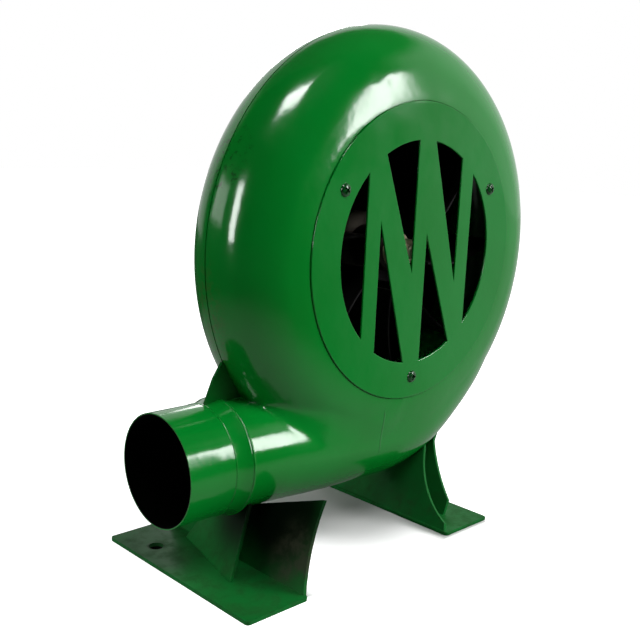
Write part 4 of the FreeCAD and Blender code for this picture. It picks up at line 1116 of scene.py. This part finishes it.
softBoxes = {
    # azimuth, height angle, distance, width, height, brightness, and whether it lights or is only mirrored
    "window": (-50, 18, 1.6, 0.34, 0.62, 19.0, "mirrored"),
    "ceiling": (-134, 64, 1.5, 0.52, 0.32, 25.0, "mirrored"),
    "leftStrip": (-171, 14, 1.5, 0.30, 0.66, 19.0, "mirrored"),
    "leftWall": (150, 16, 1.5, 0.75, 0.42, 3.0, "mirrored"),
    "rearSpot": (51, 13, 1.8, 0.40, 0.40, 6.0, "both"),
    "frontFill": (-45, 20, 2.0, 0.9, 0.9, 12.0, "lighting"),
    "topFill": (-100, 60, 2.0, 0.9, 0.9, 6.2, "lighting"),
    "leftFill": (160, 20, 2.0, 0.9, 0.9, 4.6, "lighting"),
}


def turnedTo(tree, where, degrees):
    # how far a direction points to one side, from -1 to 1
    level = doVector(tree, "NORMALIZE", doVector(tree, "MULTIPLY", where, (1, 1, 0)))
    side = (math.cos(math.radians(degrees)), math.sin(math.radians(degrees)), 0)
    return doVector(tree, "DOT_PRODUCT", level, side, result="Value")


def offBy(tree, value, middle):
    return doMath(tree, "ABSOLUTE", doMath(tree, "SUBTRACT", value, middle))


def addFloor():
    half = studio["floorSize"] / 2
    corners = [(-half, -half, 0), (half, -half, 0), (half, half, 0), (-half, half, 0)]
    mesh = bpy.data.meshes.new("studioFloor")
    mesh.from_pydata(corners, [], [(0, 1, 2, 3)])
    floor = putIn("studio_floor", mesh)
    material, tree, shader = startMaterial("paleFloor")
    where, share = objectPlace(tree)
    eye = addNode(tree, "ShaderNodeLightPath").outputs["Is Camera Ray"]
    under = distanceTo(tree, where, studio["shade"], studio["shadeStretch"])
    middleX, middleDepth, halfWidth, halfDepth = studio["footprint"]
    sideways, lengthways = offBy(tree, share["X"], middleX), offBy(tree, share["Y"], middleDepth)
    # pure white outside the feet's ground, and between the feet past the housing's shade
    outside = doMath(tree, "MAXIMUM", doMath(tree, "SUBTRACT", sideways, halfWidth),
                     doMath(tree, "SUBTRACT", lengthways, halfDepth))
    between = times(tree, rangeOf(tree, under, studio["shadeFrom"], studio["shadeTo"]),
                    rangeOf(tree, sideways, *studio["shadeHalf"], 1.0, 0.0))
    paper = doMath(tree, "MAXIMUM", rangeOf(tree, outside, *studio["footprintEdge"]), between)
    # what the table throws on the machine: a bright side, a glow close by and less under the housing
    away = distanceTo(tree, where, studio["nearMiddle"])
    side = rangeOf(tree, turnedTo(tree, where, studio["brightTurn"]), *studio["sideEdge"], studio["darkSide"],
                   studio["brightSide"])
    near = rangeOf(tree, away, studio["nearFrom"], studio["nearTo"], studio["nearGlow"], 0.0)
    thrown = times(tree, doMath(tree, "MAXIMUM", side, near),
                   rangeOf(tree, under, 0.0, studio["underTo"], studio["underGlow"], 1.0))
    glow = addNode(tree, "ShaderNodeMix")
    for number, value in ((0, eye), (2, thrown), (3, paper)):
        feed(tree, value, glow.inputs[number])
    # painted shadow: the floor is near black under the feet's bolt holes
    hole = doMath(tree, "MAXIMUM", offBy(tree, sideways, studio["holeX"]),
                  doMath(tree, "ABSOLUTE", share["Y"]))
    seen = mixColour(tree, rangeOf(tree, hole, *studio["holeEdge"]), studio["holePaintedShade"], studio["seenFloor"])
    feed(tree, mixColour(tree, eye, pureBlack, seen), shader.inputs["Base Color"])
    feed(tree, mixColour(tree, glow.outputs[0], pureBlack, pureWhite), shader.inputs["Emission Color"])
    shader.inputs["Emission Strength"].default_value = 1.0
    shader.inputs["Roughness"].default_value = 1.0
    shader.inputs["Specular IOR Level"].default_value = 0.0
    mesh.materials.append(material)


def addWorld():
    # white behind the object and dark round it; the camera itself sees white everywhere
    world = bpy.data.worlds.new("studioWorld")
    bpy.context.scene.world = world
    world.use_nodes = True
    tree = world.node_tree
    where = addNode(tree, "ShaderNodeTexCoord").outputs["Generated"]
    split = addNode(tree, "ShaderNodeSeparateXYZ")
    feed(tree, where, split.inputs[0])
    behind = rangeOf(tree, turnedTo(tree, where, studio["backdropTurn"]), *studio["backdropEdge"])
    low = rangeOf(tree, split.outputs["Z"], *studio["backdropTop"], 1.0, studio["overhead"])
    glow = doMath(tree, "ADD", times(tree, behind, low, studio["backdrop"]), studio["room"])
    eye = addNode(tree, "ShaderNodeLightPath").outputs["Is Camera Ray"]
    background = tree.nodes["Background"]
    feed(tree, doMath(tree, "MAXIMUM", glow, eye), background.inputs["Strength"])
    background.inputs["Color"].default_value = pureWhite


def addSoftBoxes():
    for name, (azimuth, lift, distance, width, height, brightness, use) in softBoxes.items():
        around, up = math.radians(azimuth), math.radians(lift)
        ray = Vector((math.cos(around) * math.cos(up), math.sin(around) * math.cos(up), math.sin(up)))
        lamp = bpy.data.lights.new(name, "AREA")
        lamp.shape = "RECTANGLE"
        lamp.size = width
        lamp.size_y = height
        lamp.energy = brightness * math.pi * width * height
        box = putIn(name, lamp)
        box.visible_diffuse = use != "mirrored"
        box.visible_glossy = use != "lighting"
        box.location = Vector(studio["middle"]) + ray * distance
        box.rotation_euler = (-ray).to_track_quat("-Z", "Y").to_euler()


addFloor()
addWorld()
addSoftBoxes()
bpy.context.scene.view_settings.view_transform = "Standard"
print("studio built")

lensing = {"spot": (-0.3411, -0.3816, 0.2173), "aim": (-0.0077, -0.0410, 0.1235), "roll": 2.65, "lens": 51.85,
           "sensor": 36.0}


def buildCamera():
    spot = Vector(lensing["spot"])
    back = (spot - Vector(lensing["aim"])).normalized()
    right = (-back).cross(Vector((0, 0, 1))).normalized()
    up = right.cross(-back)
    roll = math.radians(lensing["roll"])
    side = right * math.cos(roll) + up * math.sin(roll)
    top = up * math.cos(roll) - right * math.sin(roll)
    lens = bpy.data.cameras.new("camera")
    lens.lens = lensing["lens"]
    lens.sensor_width = lensing["sensor"]
    camera = putIn("camera", lens)
    turn = Matrix((side, top, back)).transposed()
    camera.matrix_world = Matrix.Translation(spot) @ turn.to_4x4()
    bpy.context.scene.camera = camera


buildCamera()
print("camera placed")
